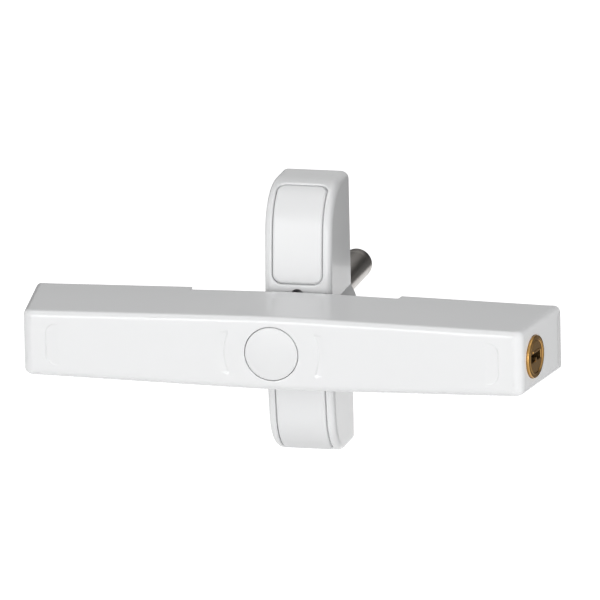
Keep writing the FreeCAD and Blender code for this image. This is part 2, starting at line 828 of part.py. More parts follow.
def build_index_plate():
    body = new_body("index_plate")
    sketch = new_sketch(body, "index_disc", "XZ", "index_back")
    add_circle(sketch, "0", "0", "hub_bore - hub_fit")
    pad(body, "index_disc_pad", sketch, "index_thickness")
    sketch = new_sketch(body, "index_bore", "XZ", "index_back")
    add_circle(sketch, "0", "0", "shaft_radius + hub_fit")
    add_circle(sketch, STOP_X, STOP_Z, "stop_pin_radius")
    for side in ("", "-"):
        add_circle(sketch, *index_screw_place(side), "index_screw_radius + screw_clearance")
    pocket(body, "index_bore_pocket", sketch, back=True)
    sketch = new_sketch(body, "index_sinks", "XZ", "index_front")
    for side in ("", "-"):
        add_circle(sketch, *index_screw_place(side), "index_screw_head_radius + screw_clearance")
    pocket(body, "index_sink_pocket", sketch, "index_screw_head_height + screw_clearance")
    index_holes(body, "index")
    return finished(body, "index_plate")


build_index_plate()
screws = [
    headed_screw("index_screw_%d" % number, "index_screw_radius - thread_fit",
                 "index_screw_length - screw_clearance", "index_screw_head_radius", "index_screw_head_height",
                 "-(index_front)", *index_screw_place(side), facing=-1)
    for number, side in enumerate(("", "-"), start=1)
]
finished(group("index_screw_pair", screws), "index_plate_screws")
stop = cylinder("stop_pin_rod", "stop_pin_radius - thread_fit", "relief_face + stop_pin_reach - index_back",
                "-(relief_face + stop_pin_reach)", STOP_X, STOP_Z)
finished(stop, "stop_pin")


# Pivot: flanged shaft with a tapped rear, washers and nut at its threaded front end

flange = cylinder("shaft_flange", "shaft_flange_radius", "shaft_flange_thickness",
                  "-(plate_thickness + shaft_flange_thickness)")
journal = cylinder("shaft_journal", "shaft_radius", "shoulder - plate_thickness", "-(shoulder)")
thread = cylinder("shaft_thread", "thread_radius", "thread_length", "-(shoulder + thread_length)")
rod_seat = cylinder("shaft_rod_seat", "rod_radius", "rod_grip", "-(plate_thickness + rod_grip)")
finished(cut("shaft", join("shaft_solid", flange, journal, thread), rod_seat), "pivot_shaft")
finished(ring("thrust", "shaft_radius + running_fit + thrust_washer_width", "shaft_radius + running_fit",
              "thrust_washer_thickness", "-(relief_face)"), "thrust_washer")
finished(ring("wave", "wave_washer_radius", "shaft_radius + hub_fit", "wave_washer_thickness",
              "-(shoulder)"), "wave_washer")
finished(ring("retaining", "retaining_washer_radius", "thread_radius + running_fit",
              "retaining_washer_thickness", "-(nut_seat)"), "retaining_washer")
nut = hexagon("nut_outside", "nut_width", "nut_height", "-(nut_seat + nut_height)")
nut_bore = cylinder("nut_bore", "thread_radius + thread_fit", "nut_height", "-(nut_seat + nut_height)")
finished(cut("nut", nut, nut_bore), "retaining_nut")


# Through-bolt: a threaded rod in the shaft's rear, and the bright sleeve nut on its far end

rod = cylinder("through_rod_round", "rod_radius - thread_fit",
               "plate_thickness + rod_grip - hub_fit + sleeve_start + sleeve_bite - hub_fit",
               "-(plate_thickness + rod_grip - hub_fit)")
finished(rod, "through_rod")
sleeve = join(
    "sleeve_outside",
    cylinder("sleeve_body", "sleeve_radius", "sleeve_length - 2 * sleeve_chamfer",
             "sleeve_start + sleeve_chamfer"),
    cone("sleeve_near_bevel", "sleeve_radius - sleeve_chamfer", "sleeve_radius", "sleeve_chamfer",
         "sleeve_start"),
    cone("sleeve_far_bevel", "sleeve_radius", "sleeve_radius - sleeve_chamfer", "sleeve_chamfer",
         "sleeve_start + sleeve_length - sleeve_chamfer"),
)
sleeve_bore = cylinder("sleeve_bore", "rod_radius", "sleeve_bite", "sleeve_start")
socket = hexagon("sleeve_socket", "sleeve_socket_width", "sleeve_socket_depth",
                 "sleeve_start + sleeve_length - sleeve_socket_depth")
finished(cut("sleeve", sleeve, sleeve_bore, socket), "sleeve_nut")


# Bar cover: a long shell, tapered in height from its middle and slanted at its ends

def slanted_plan(sketch, inset, front, back):
    """The plan of the bar between two stand-offs, moved inwards by an inset square to its ends."""
    def half(stand_off):
        return ("(half_front + (bar_front - (%s)) * tan(bar_slant) - (%s) / cos(bar_slant))"
                % (stand_off, inset))
    add_outline(sketch, [
        (half(front), "-(%s)" % front),
        (half(back), "-(%s)" % back),
        ("-" + half(back), "-(%s)" % back),
        ("-" + half(front), "-(%s)" % front),
    ])


def build_bar_cover():
    body = new_body("bar_cover")
    sketch = new_sketch(body, "cover_plan", "XY")
    slanted_plan(sketch, "0", "bar_front", "bar_back")
    pad(body, "cover_block", sketch, "bar_mid_height", middle=True)
    for name, sign in (("top", ""), ("bottom", "-")):
        sketch = new_sketch(body, "cover_%s_taper" % name, "XZ")
        reach = "(2 * half_rear)"
        add_outline(sketch, [
            ("0", sign + "bar_mid_height / 2"),
            (reach, "%s(bar_mid_height / 2 - end_drop * %s / half_front)" % (sign, reach)),
            (reach, sign + "bar_mid_height"),
            ("-" + reach, sign + "bar_mid_height"),
            ("-" + reach, "%s(bar_mid_height / 2 - end_drop * %s / half_front)" % (sign, reach)),
        ])
        pocket(body, "cover_%s_taper_pocket" % name, sketch, middle=True)
    front = -value("bar_front")
    round_edges(body, "cover_front_corners", "bar_corner_radius",
                lambda edge: runs_along(edge, AXIS_Z) and near(middle_of(edge).y, front))
    round_edges(body, "cover_long_edges", "bar_edge_radius",
                lambda edge: near(middle_of(edge).y, front) and not runs_along(edge, AXIS_Z))
    sketch = new_sketch(body, "cover_relief", "XY")
    add_rectangle(sketch, "-relief_length / 2", "-(relief_face)", "relief_length / 2", "0")
    pocket(body, "cover_relief_pocket", sketch, middle=True)
    sketch = new_sketch(body, "cover_cavity", "XY")
    slanted_plan(sketch, "bar_wall", "inner_front", "bar_back")
    pocket(body, "cover_cavity_pocket", sketch, "2 * inner_half", middle=True)
    sketch = new_sketch(body, "cover_cap_hole", "XZ", "inner_front")
    add_circle(sketch, "0", "0", "cap_radius + cap_gap")
    pocket(body, "cover_cap_pocket", sketch, back=True)
    for name, sign in (("left", "-"), ("right", "")):
        cover_field(body, name, sign)
        back_plate_bosses(body, name, sign)
    lock_hole(body)
    return finished(body, "bar_cover")


def cover_field(body, name, sign):
    """A shallow sunk field on the front, with a round inner end that follows the cap."""
    sketch = new_sketch(body, name + "_field", "XZ", "bar_front")
    top = "field_height / 2"
    inner = "%ssqrt(pow(field_inner_radius; 2) - pow(field_height / 2; 2))" % sign
    bend = "%s(field_outer_end - field_corner_radius)" % sign
    end = sign + "field_outer_end"
    turn = "" if sign == "" else "-"
    other = "-" if sign == "" else ""
    add_outline(sketch, [
        (inner, "-" + top),
        (bend, "-" + top, turn + "field_corner_radius"),
        (end, "-(%s - field_corner_radius)" % top),
        (end, "%s - field_corner_radius" % top, turn + "field_corner_radius"),
        (bend, top),
        (inner, top, other + "field_inner_radius"),
    ])
    pocket(body, name + "_field_pocket", sketch, "field_depth")


def back_plate_bosses(body, name, sign):
    """The two bosses behind each end's front that take the back plate's screws."""
    sketch = new_sketch(body, name + "_bosses", "XZ", "plate_front")
    for side in ("", "-"):
        add_circle(sketch, sign + "back_screw_x", side + "back_boss_height", "back_boss_radius")
    pad(body, name + "_boss_pad", sketch, "back_screw_length")
    sketch = new_sketch(body, name + "_boss_holes", "XZ", "plate_front")
    for side in ("", "-"):
        add_circle(sketch, sign + "back_screw_x", side + "back_boss_height", "back_screw_radius")
    pocket(body, name + "_boss_pocket", sketch, "back_screw_length", back=True)


def lock_hole(body):
    """The round hole in the right end for the lock cylinder, square to the slanted end."""
    sketch = new_sketch(body, "cover_lock_hole", "YZ")
    sketch.AttachmentOffset = Placement(Vector(0, 0, 0), Rotation(AXIS_Y, -value("bar_slant")))
    bind(sketch, ".AttachmentOffset.Base.x", "lock_y")
    bind(sketch, ".AttachmentOffset.Base.z", "lock_x")
    add_circle(sketch, "0", "0", "cylinder_radius + cylinder_fit")
    pocket(body, "cover_lock_pocket", sketch, "4 * bar_wall", middle=True)


build_bar_cover()


# Pivot cap: a domed disc with a skirt that hooks behind the front wall

def build_pivot_cap():
    body = new_body("pivot_cap")
    sketch = new_sketch(body, "cap_section", "XY")
    dome_radius = "((pow(cap_radius; 2) + pow(cap_dome; 2)) / (2 * cap_dome))"
    under = "-(bar_front - cap_thickness)"
    tip = "-(bar_front - cap_skirt_depth)"
    bead_top = "-(inner_front - cap_gap)"
    bead_low = "-(inner_front - cap_gap - cap_skirt_wall)"
    skirt_out = "(cap_radius - cap_skirt_inset)"
    skirt_in = "(cap_radius - cap_skirt_inset - cap_skirt_wall)"
    bead = "(cap_radius + cap_gap + cap_bead)"
    add_outline(sketch, [
        ("0", "-(bar_front + cap_dome)", dome_radius),
        ("cap_radius", "-(bar_front)"),
        ("cap_radius", under),
        (skirt_out, under),
        (skirt_out, bead_top),
        (bead, bead_top),
        (bead, bead_low),
        (skirt_out, tip),
        (skirt_in, tip),
        (skirt_in, under),
        ("0", under),
    ])
    turn = body.newObject("PartDesign::Revolution", "cap_turn")
    turn.Profile = sketch
    turn.ReferenceAxis = (sketch, ["V_Axis"])
    turn.Angle = 360
    doc.recompute()
    return finished(body, "pivot_cap")


build_pivot_cap()


# Bar core: a steel channel, and the block between its flanges that carries the bush

length = "(core_left_end + core_right_end)"
center = "((core_right_end - core_left_end) / 2)"
channel = block("core_outside", length, "core_front - bearing_front", "core_height", center,
                "-(core_front)", "0")
channel_inside = block("core_inside", length + " + core_thickness",
                       "core_front - bearing_front - core_thickness", "2 * core_inner", center,
                       "-(core_front - core_thickness)", "0")
cap_room = cylinder("core_cap_room", "cap_radius + cap_gap + cap_bead + core_fit",
                    "cap_skirt_depth + core_fit", "-(bar_front)")
finished(cut("core", channel, channel_inside, cap_room), "bar_core")

block_length = "(block_left_end + block_right_end)"
block_center = "((block_right_end - block_left_end) / 2)"
carrier = block("block_outside", block_length, "bush_end - bearing_front", "2 * (core_inner - core_fit)",
                block_center, "-(bush_end)", "0")
carrier_bore = cylinder("block_bore", "bush_radius", "bush_end - bearing_front", "-(bush_end)")
carrier_holes = [
    cylinder("block_screw_hole_%d" % number, "back_screw_radius", "back_screw_length + core_fit",
             "-(bearing_front + back_screw_length + core_fit)", "-block_screw_x", side + "block_screw_z")
    for number, side in enumerate(("", "-"), start=1)
]
finished(cut("block", carrier, carrier_bore, *carrier_holes), "pivot_block")
finished(ring("bush", "bush_radius", "shaft_radius + running_fit", "bush_length", "-(bush_end)"),
         "pivot_bush")


# Bearing plate: closes the middle of the bar, with the stop's curved slot and the pin's hole

def build_bearing_plate():
    body = new_body("bearing_plate")
    sketch = new_sketch(body, "bearing_outline", "XZ", "relief_face")
    half = "(relief_length / 2 - core_fit)"
    add_rectangle(sketch, "-" + half, "-(inner_half - core_fit)", half, "inner_half - core_fit")
    pad(body, "bearing_strip", sketch, "bearing_thickness")
    sketch = new_sketch(body, "bearing_bore", "XZ", "relief_face")
    add_circle(sketch, "0", "0", "bush_radius")
    add_circle(sketch, "index_circle_radius", "0", "pin_radius + running_fit")
    for side in ("", "-"):
        add_circle(sketch, "-block_screw_x", side + "block_screw_z", "back_screw_radius + screw_clearance")
    pocket(body, "bearing_bore_pocket", sketch, back=True)
    sketch = new_sketch(body, "bearing_sinks", "XZ", "relief_face")
    for side in ("", "-"):
        add_circle(sketch, "-block_screw_x", side + "block_screw_z",
                   "back_screw_head_radius + screw_clearance")
    pocket(body, "bearing_sink_pocket", sketch, "back_screw_head_height + screw_clearance", back=True)
    room = "(stop_pin_radius + stop_gap)"
    inner = "(stop_pin_circle_radius - %s)" % room
    outer = "(stop_pin_circle_radius + %s)" % room
    first = "(stop_pin_angle - stop_travel)"
    sketch = new_sketch(body, "stop_slot", "XZ", "relief_face")
    add_outline(sketch, [
        ("%s * cos(%s)" % (outer, first), "%s * sin(%s)" % (outer, first), outer),
        ("%s * cos(stop_pin_angle)" % outer, "%s * sin(stop_pin_angle)" % outer),
        ("%s * cos(stop_pin_angle)" % inner, "%s * sin(stop_pin_angle)" % inner, "-" + inner),
        ("%s * cos(%s)" % (inner, first), "%s * sin(%s)" % (inner, first)),
    ])
    pocket(body, "stop_slot_pocket", sketch, back=True)
    sketch = new_sketch(body, "stop_slot_ends", "XZ", "relief_face")
    for angle in (first, "stop_pin_angle"):
        add_circle(sketch, "stop_pin_circle_radius * cos(%s)" % angle,
                   "stop_pin_circle_radius * sin(%s)" % angle, room)
    pocket(body, "stop_slot_end_pocket", sketch, back=True)
    return finished(body, "bearing_plate")


build_bearing_plate()
screws = [
    headed_screw("bearing_screw_%d" % number, "back_screw_radius - thread_fit",
                 "bearing_thickness + back_screw_length", "back_screw_head_radius",
                 "back_screw_head_height", "-(relief_face)", "-block_screw_x", side + "block_screw_z")
    for number, side in enumerate(("", "-"), start=1)
]
finished(group("bearing_screw_pair", screws), "bearing_plate_screws")


# Back plates close the two ends, each with a rubber buffer

def build_back_plate(name, sign):
    body = new_body(name)
    sketch = new_sketch(body, name + "_outline", "XZ", "plate_back")
    near_end = "(relief_length / 2 + core_fit)"
    ends = sorted([sign + near_end, sign + "back_end"], key=value)
    add_rectangle(sketch, ends[0], "-(inner_half - core_fit)", ends[1], "inner_half - core_fit")
    pad(body, name + "_sheet", sketch, "back_plate_thickness")
    sketch = new_sketch(body, name + "_step", "XZ", "plate_back")
    ends = sorted([sign + near_end, "%s(%s + back_plate_thickness)" % (sign, near_end)], key=value)
    add_rectangle(sketch, ends[0], "-(inner_half - core_fit)", ends[1], "inner_half - core_fit")
    pad(body, name + "_step_pad", sketch, "bearing_front - plate_back")
    sketch = new_sketch(body, name + "_holes", "XZ", "plate_back")
    for side in ("", "-"):
        add_circle(sketch, sign + "back_screw_x", side + "back_boss_height",
                   "back_screw_radius + screw_clearance")
    pocket(body, name + "_hole_pocket", sketch, back=True)
    sketch = new_sketch(body, name + "_sinks", "XZ", "plate_back")
    for side in ("", "-"):
        add_circle(sketch, sign + "back_screw_x", side + "back_boss_height",
                   "back_screw_head_radius + screw_clearance")
    pocket(body, name + "_sink_pocket", sketch, "back_screw_head_height", back=True)
    return finished(body, name)


screws = []
for name, sign in (("left", "-"), ("right", "")):
    build_back_plate(name + "_back_plate", sign)
    buffer = block(name + "_buffer_block", "buffer_length", "buffer_thickness", "buffer_height",
                   sign + "buffer_center", "-(plate_back)", "0")
    finished(buffer, name + "_buffer")
    for number, side in enumerate(("", "-"), start=1):
        screws.append(headed_screw(
            "%s_back_screw_%d" % (name, number), "back_screw_radius - thread_fit",
            "back_plate_thickness + back_screw_length - screw_clearance", "back_screw_head_radius",
            "back_screw_head_height", "-(plate_back)", sign + "back_screw_x", side + "back_boss_height"))
finished(group("back_screw_set", screws), "back_plate_screws")


# The lock's own frame: its local +X is the outward normal of the bar's right end

ALONG_LOCK = Rotation(AXIS_Y, 90)


def in_lock_frame(item):
    """Turn a finished lock piece to the slanted end and move it to the lock's face."""
    item.Placement = Placement(Vector(0, 0, 0), Rotation(AXIS_Z, -value("bar_slant")))
    bind(item, ".Placement.Base.x", "lock_x")
    bind(item, ".Placement.Base.y", "lock_y")
    return item


def barrel(name, radius, start, end):
    """A cylinder on the lock's axis between two depths below the end face."""
    return cylinder(name, radius, "(%s) - (%s)" % (end, start), x="-(%s)" % end, rotation=ALONG_LOCK)


def lock_block(name, start, end, width, height, z="0", y="0"):
    """A box on the lock's axis between two depths below the end face."""
    return block(name, "(%s) - (%s)" % (end, start), width, height,
                 "-((%s) + (%s)) / 2" % (start, end), "(%s) - (%s) / 2" % (y, width), z)


body_outside = join(
    "cylinder_outside",
    barrel("cylinder_round", "cylinder_radius", "cylinder_chamfer - cylinder_proud", "cylinder_length"),
    cone("cylinder_bevel", "cylinder_radius", "cylinder_radius - cylinder_chamfer", "cylinder_chamfer",
         x="cylinder_proud - cylinder_chamfer", rotation=ALONG_LOCK),
)
body_bore = barrel("cylinder_bore", "plug_radius + running_fit", "-cylinder_proud", "cylinder_length")
screw_depth = "(bracket_start + bracket_length / 2)"
screw_seat = cylinder("cylinder_screw_seat", "cylinder_screw_radius", "bracket_half_depth",
                      "cylinder_radius - cylinder_screw_bite - hub_fit", "-" + screw_depth)
finished(in_lock_frame(cut("cylinder_body", body_outside, body_bore, screw_seat)), "lock_cylinder")

bracket = lock_block("bracket_outside", "bracket_start", "bracket_start + bracket_length",
                     "2 * bracket_half_depth", "2 * bracket_half_height")
bracket_bore = barrel("bracket_bore", "cylinder_radius + cylinder_fit", "bracket_start",
                      "bracket_start + bracket_length")
bracket_hole = cylinder("bracket_hole", "cylinder_screw_radius + screw_clearance", "bracket_half_depth",
                        "0", "-" + screw_depth)
bracket_sink = cylinder("bracket_sink", "cylinder_screw_head_radius + screw_clearance",
                        "cylinder_screw_head_height", "bracket_half_depth - cylinder_screw_head_height",
                        "-" + screw_depth)
finished(in_lock_frame(cut("bracket", bracket, bracket_bore, bracket_hole, bracket_sink)),
         "cylinder_bracket")
finished(in_lock_frame(headed_screw(
    "cylinder_screw_solid", "cylinder_screw_radius - thread_fit",
    "bracket_half_depth - cylinder_radius + cylinder_screw_bite", "cylinder_screw_head_radius",
    "cylinder_screw_head_height", "bracket_half_depth", "-" + screw_depth, "0")), "cylinder_screw")

plug_solid = join(
    "plug_solid",
    barrel("plug_round", "plug_radius", "plug_inset - cylinder_proud", "cylinder_length"),
    barrel("plug_neck", "plug_neck_radius", "cylinder_length", "neck_end"),
    barrel("plug_tail", "plug_tail_radius", "neck_end", "cam_end"),
)
keyway = cut(
    "keyway",
    lock_block("keyway_slot", "-cylinder_proud", "key_depth", "key_width", "key_height"),
    lock_block("keyway_rib", "-cylinder_proud", "key_depth", "key_rib_width", "key_rib_height",
               "(key_rib_height - key_height) / 2"),
)
finished(in_lock_frame(cut("plug", plug_solid, keyway)), "lock_plug")
finished(in_lock_frame(cut(
    "plug_ring",
    barrel("plug_ring_outside", "ring_radius", "cylinder_length + ring_gap", "neck_end - ring_gap"),
    barrel("plug_ring_hole", "plug_neck_radius", "cylinder_length", "neck_end"),
)), "plug_ring")


# Cam: a barrel on the plug's tail, with a helical slot that drives the rod's peg

PEG_DEPTH = "(neck_end + peg_start)"
SLOT_STEPS = 12


def build_cam():
    outside = barrel("cam_outside", "cam_radius", "neck_end", "cam_end")
    hole = barrel("cam_hole", "plug_tail_radius", "neck_end", "cam_end")
    cutters = []
    for step in range(SLOT_STEPS + 1):
        share = step / SLOT_STEPS
        cutter = doc.addObject("Part::Cylinder", "cam_cutter_%02d" % step)
        bind(cutter, "Radius", "peg_radius + slot_clearance")
        bind(cutter, "Height", "2 * cam_slot_depth")
        turn = Rotation(AXIS_X, share * value("key_turn"))
        cutter.Placement = Placement(Vector(0, 0, 0), turn)
        lift = "(cam_radius - cam_slot_depth)"
        angle = "(%s * key_turn)" % share
        bind(cutter, ".Placement.Base.x", "-(%s + %s * rod_travel)" % (PEG_DEPTH, share))
        bind(cutter, ".Placement.Base.y", "-%s * sin(%s)" % (lift, angle))
        bind(cutter, ".Placement.Base.z", "%s * cos(%s)" % (lift, angle))
        cutters.append(cutter)
    return finished(in_lock_frame(cut("cam", outside, hole, *cutters)), "lock_cam")


build_cam()


# Rod: a sleeve round the cam, a bar that runs to the pivot, and a fork for the lock pin

sleeve_solid = join(
    "rod_solid",
    barrel("rod_sleeve", "sleeve_outside", "sleeve_near", "sleeve_far + rod_sleeve_floor"),
    lock_block("rod_bar", "sleeve_far", "rod_end", "rod_width", "rod_height"),
)
rod_room = barrel("rod_sleeve_room", "sleeve_inside", "sleeve_near", "sleeve_far")
rod_fork = lock_block("rod_fork", "fork_start", "rod_end", "rod_width",
                      "pin_tail_thickness + 2 * slide_gap")
peg_hole = cylinder("rod_peg_hole", "peg_radius", "sleeve_outside", x="-" + PEG_DEPTH, rotation=Rotation())
dowel_hole = cylinder("rod_dowel_hole", "dowel_radius", "rod_height", x="-(dowel_reach)",
                      z="-rod_height / 2", rotation=Rotation())
finished(in_lock_frame(cut("rod_shape", sleeve_solid, rod_room, rod_fork, peg_hole, dowel_hole)),
         "lock_rod")
peg = cylinder("peg_round", "peg_radius - thread_fit",
               "sleeve_outside - cam_radius + cam_slot_depth - hub_fit",
               x="-" + PEG_DEPTH, z="cam_radius - cam_slot_depth + hub_fit", rotation=Rotation())
finished(in_lock_frame(group("peg", [peg])), "follower_peg")
dowel = cylinder("dowel_round", "dowel_radius - thread_fit", "rod_height", x="-(dowel_reach)",
                 z="-rod_height / 2", rotation=Rotation())
finished(in_lock_frame(group("dowel", [dowel])), "cross_dowel")

guide_start = "(rod_guide_reach - rod_guide_length / 2)"
guide_end = "(rod_guide_reach + rod_guide_length / 2)"
guide = lock_block("guide_outside", guide_start, guide_end, "rod_width + 2 * rod_guide_wall",
                   "2 * (core_inner - core_fit)")
guide_hole = lock_block("guide_hole", guide_start, guide_end, "rod_width + 2 * running_fit",
                        "rod_height + 2 * running_fit")
finished(in_lock_frame(cut("guide", guide, guide_hole)), "rod_guide")


# Lock pin: a round pin with a flat tail, whose slanted slot turns the rod's travel into its own

def build_lock_pin():
    body = new_body("lock_pin")
    sketch = new_sketch(body, "pin_round", "XZ", "pin_tip")
    add_circle(sketch, "index_circle_radius", "0", "pin_radius")
    pad(body, "pin_shank", sketch, "tail_start - pin_tip + thread_fit")
    tip = -value("pin_tip")
    bevel_edges(body, "pin_tip_bevel_edge", "pin_tip_bevel", lambda edge: near(middle_of(edge).y, tip))
    sketch = new_sketch(body, "pin_tail", "XY")
    add_rectangle(sketch, "index_circle_radius - pin_tail_width / 2", "-(tail_end)",
                  "index_circle_radius + pin_tail_width / 2", "-(tail_start)")
    pad(body, "pin_tail_pad", sketch, "pin_tail_thickness", middle=True)
    side_x = "(run_y / run * dowel_slot)"
    side_y = "(run_x / run * dowel_slot)"
    far_x = "(dowel_x - run_x)"
    far_y = "(dowel_y - run_y)"
    sketch = new_sketch(body, "pin_slot", "XY")
    add_outline(sketch, [
        ("dowel_x + " + side_x, "dowel_y - " + side_y),
        ("dowel_x - " + side_x, "dowel_y + " + side_y),
        ("%s - %s" % (far_x, side_x), "%s + %s" % (far_y, side_y)),
        ("%s + %s" % (far_x, side_x), "%s - %s" % (far_y, side_y)),
    ])
    pocket(body, "pin_slot_pocket", sketch, middle=True)
    sketch = new_sketch(body, "pin_slot_ends", "XY")
    add_circle(sketch, "dowel_x", "dowel_y", "dowel_slot")
    add_circle(sketch, far_x, far_y, "dowel_slot")
    pocket(body, "pin_slot_end_pocket", sketch, middle=True)
    return finished(body, "lock_pin")


build_lock_pin()
finished(ring("pin_guide_ring", "pin_guide_radius", "pin_radius + running_fit", "pin_guide_length",
              "-(relief_face)", "index_circle_radius"), "pin_guide")


# Every object of the document has to be sound before any piece is written

doc.recompute()
for item in doc.Objects:
    if "Invalid" in item.State or "Error" in item.State:
        raise RuntimeError("%s has failed" % item.Name)
for item in PIECES:
    shape = item.Shape
    if shape.isNull() or not shape.isValid():
        raise RuntimeError("%s has no sound shape" % item.Label)
    shape.exportStep("parts/%s.step" % item.Label)
    print("%-22s %2d solids %10.1f mm3" % (item.Label, len(shape.Solids), shape.Volume))
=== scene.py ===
import json
import math
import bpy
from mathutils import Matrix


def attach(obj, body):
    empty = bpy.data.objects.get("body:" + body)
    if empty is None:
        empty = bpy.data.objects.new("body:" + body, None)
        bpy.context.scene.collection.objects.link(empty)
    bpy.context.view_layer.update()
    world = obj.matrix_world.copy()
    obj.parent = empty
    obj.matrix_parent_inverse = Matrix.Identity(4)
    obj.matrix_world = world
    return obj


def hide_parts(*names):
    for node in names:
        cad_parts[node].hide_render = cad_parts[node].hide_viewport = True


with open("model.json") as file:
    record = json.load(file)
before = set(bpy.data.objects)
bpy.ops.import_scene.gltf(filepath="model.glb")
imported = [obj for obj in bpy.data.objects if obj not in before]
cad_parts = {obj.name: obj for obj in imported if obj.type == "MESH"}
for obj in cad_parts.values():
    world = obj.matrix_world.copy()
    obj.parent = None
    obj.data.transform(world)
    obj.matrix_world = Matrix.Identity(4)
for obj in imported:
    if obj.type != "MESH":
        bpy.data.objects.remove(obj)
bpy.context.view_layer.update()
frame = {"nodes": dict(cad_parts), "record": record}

from types import SimpleNamespace

import bmesh
import bpy
from bpy.props import FloatProperty, FloatVectorProperty, IntProperty, PointerProperty
from mathutils import Matrix, Quaternion, Vector, geometry

# Window security lock: a painted bar with a brass lock cylinder that turns on an upright painted base.
# The origin is on the pivot axis in the plane of the sash: +X to the lock end, +Y into the window, +Z up.
# A stand-off is a distance from the sash towards the room. Sizes in the code below are millimetres.

bl_info = {
    "name": "Window security lock",
    "version": (1, 0, 0),
    "blender": (4, 5, 0),
    "location": "3D View > Sidebar > Window lock",
    "description": "Builds the visible pieces of a window security lock on its construction frame",
    "category": "Object",
}

ACROSS, INTO, UP = Vector((1, 0, 0)), Vector((0, 1, 0)), Vector((0, 0, 1))


# Settings

def length(name, description, millimetres):
    return FloatProperty(name=name, description=description, default=millimetres / 1000, unit="LENGTH",
                         subtype="DISTANCE", precision=5, min=0)


def colour(name, description, shade):
    return FloatVectorProperty(name=name, description=description, default=shade, size=3, min=0, max=1,
                               subtype="COLOR")


def angle(name, description, degrees):
    return FloatProperty(name=name, description=description, default=math.radians(degrees),
                         subtype="ANGLE", unit="ROTATION")


def share(name, description, value, most=1.0):
    return FloatProperty(name=name, description=description, default=value, subtype="FACTOR", min=0, max=most)


class LockBaseSettings(bpy.types.PropertyGroup):
    """Sizes of the upright base and its screw covers"""
    half_length: length("Half length", "From the pivot to an end of the base", 74.2)
    half_width: length("Half width", "Half the width of the base's arms", 18.3)
    edge_radius: length("Edge radius", "Rounding of the long front edges", 4)
    bow_apex: length("Bow apex", "Stand-off of the bowed front at the pivot", 44.5)
    bow_radius: length("Bow radius", "Radius of the bowed front in the side view", 400)
    end_roll: length("End roll", "Radius of the rolled ends in the side view", 26)
    hub_radius: length("Hub radius", "Radius of the round hub", 21.9)
    hub_blend: length("Hub blend", "Radius of the hollow between the hub and an arm", 3)
    wall: length("Wall", "Thickness of the base's walls", 3)
    index_front: length("Index plate front", "Stand-off of the index plate's front", 40.4)
    index_circle: length("Index circle", "Radius of the circle of index holes", 16.6)
    index_hole: length("Index hole", "Radius of an index hole", 3.4)
    boss_radius: length("Boss radius", "Radius of the boss round the pivot", 10.6)
    boss_front: length("Boss front", "Stand-off of the boss's front", 47.1)
    bore: length("Bore", "Radius of the bore for the pivot shaft", 8.2)
    cover_half_width: length("Cover half width", "Half the width of a screw cover", 13.5)
    cover_inner: length("Cover inner end", "From the pivot to a screw cover's inner end", 22.8)
    cover_outer: length("Cover outer end", "From the pivot to a screw cover's outer end", 72.2)
    cover_corner: length("Cover corner radius", "Radius of a screw cover's corners", 5)
    cover_thickness: length("Cover thickness", "Thickness of a screw cover", 2.4)
    cover_roll: length("Cover rounding", "Rounding of a screw cover's edges", 1.3)
    seat_gap: length("Seat gap", "Gap round a screw cover", 0.35)
    seat_roll: length("Seat rounding", "Rounding of the rim round a screw cover", 0.95)


class LockBarSettings(bpy.types.PropertyGroup):
    """Sizes of the bar and its pivot cap"""
    half_front: length("Half length", "Half the length of the bar's front", 134.9)
    slant: angle("End slant", "How far the ends lean out towards the window", 7.9)
    front: length("Front", "Stand-off of the bar's front", 101.6)
    back: length("Back", "Stand-off of the bar's back", 44.2)
    relief_face: length("Relief face", "Stand-off of the back in the middle", 49.4)
    relief_half: length("Relief half length", "Half the length of the set-back middle", 56.7)
    mid_half: length("Middle half height", "Half the height of the bar in the middle", 19.9)
    end_half: length("End half height", "Half the height of the bar's front at its ends", 17.55)
    corner_radius: length("Corner radius", "Radius of the upright corners", 6)
    edge_radius: length("Edge radius", "Rounding of the long edges", 3.2)
    wall: length("Wall", "Thickness of the bar's walls", 2.5)
    field_depth: length("Field depth", "Depth of the sunk fields at their ends", 0.5)
    field_half: length("Field half height", "Half the height of a field", 11.4)
    field_outer: length("Field outer end", "From the pivot to a field's outer end", 122.9)
    field_inner: length("Field inner radius", "Radius of a field's inner end about the pivot", 25.3)
    field_corner: length("Field corner radius", "Radius of a field's outer corners", 5.5)
    cap_radius: length("Cap radius", "Radius of the pivot cap", 14.3)
    cap_gap: length("Cap gap", "Gap round the pivot cap", 0.3)
    cap_dome: length("Cap dome", "Rise of the pivot cap's face", 0.9)


class LockCylinderSettings(bpy.types.PropertyGroup):
    """Sizes of the brass lock cylinder"""
    depth: length("Depth", "From the bar's front to the cylinder's axis", 18.8)
    radius: length("Radius", "Radius of the cylinder", 11.4)
    proud: length("Proud", "How far the cylinder stands out of the bar's end", 1.4)
    chamfer: length("Chamfer", "Bevel of the cylinder's front edge", 0.6)
    plug_radius: length("Plug radius", "Radius of the plug", 8.6)
    plug_inset: length("Plug inset", "How far the plug's face is sunk", 0.25)
    key_half_width: length("Keyway half width", "Half the width of the keyway", 6.8)
    key_half_height: length("Keyway half height", "Half the height of the keyway", 2.1)
    rib_half_width: length("Rib half width", "Half the width of the rib in the keyway", 0.95)
    rib_height: length("Rib height", "Height of the rib in the keyway", 1.7)


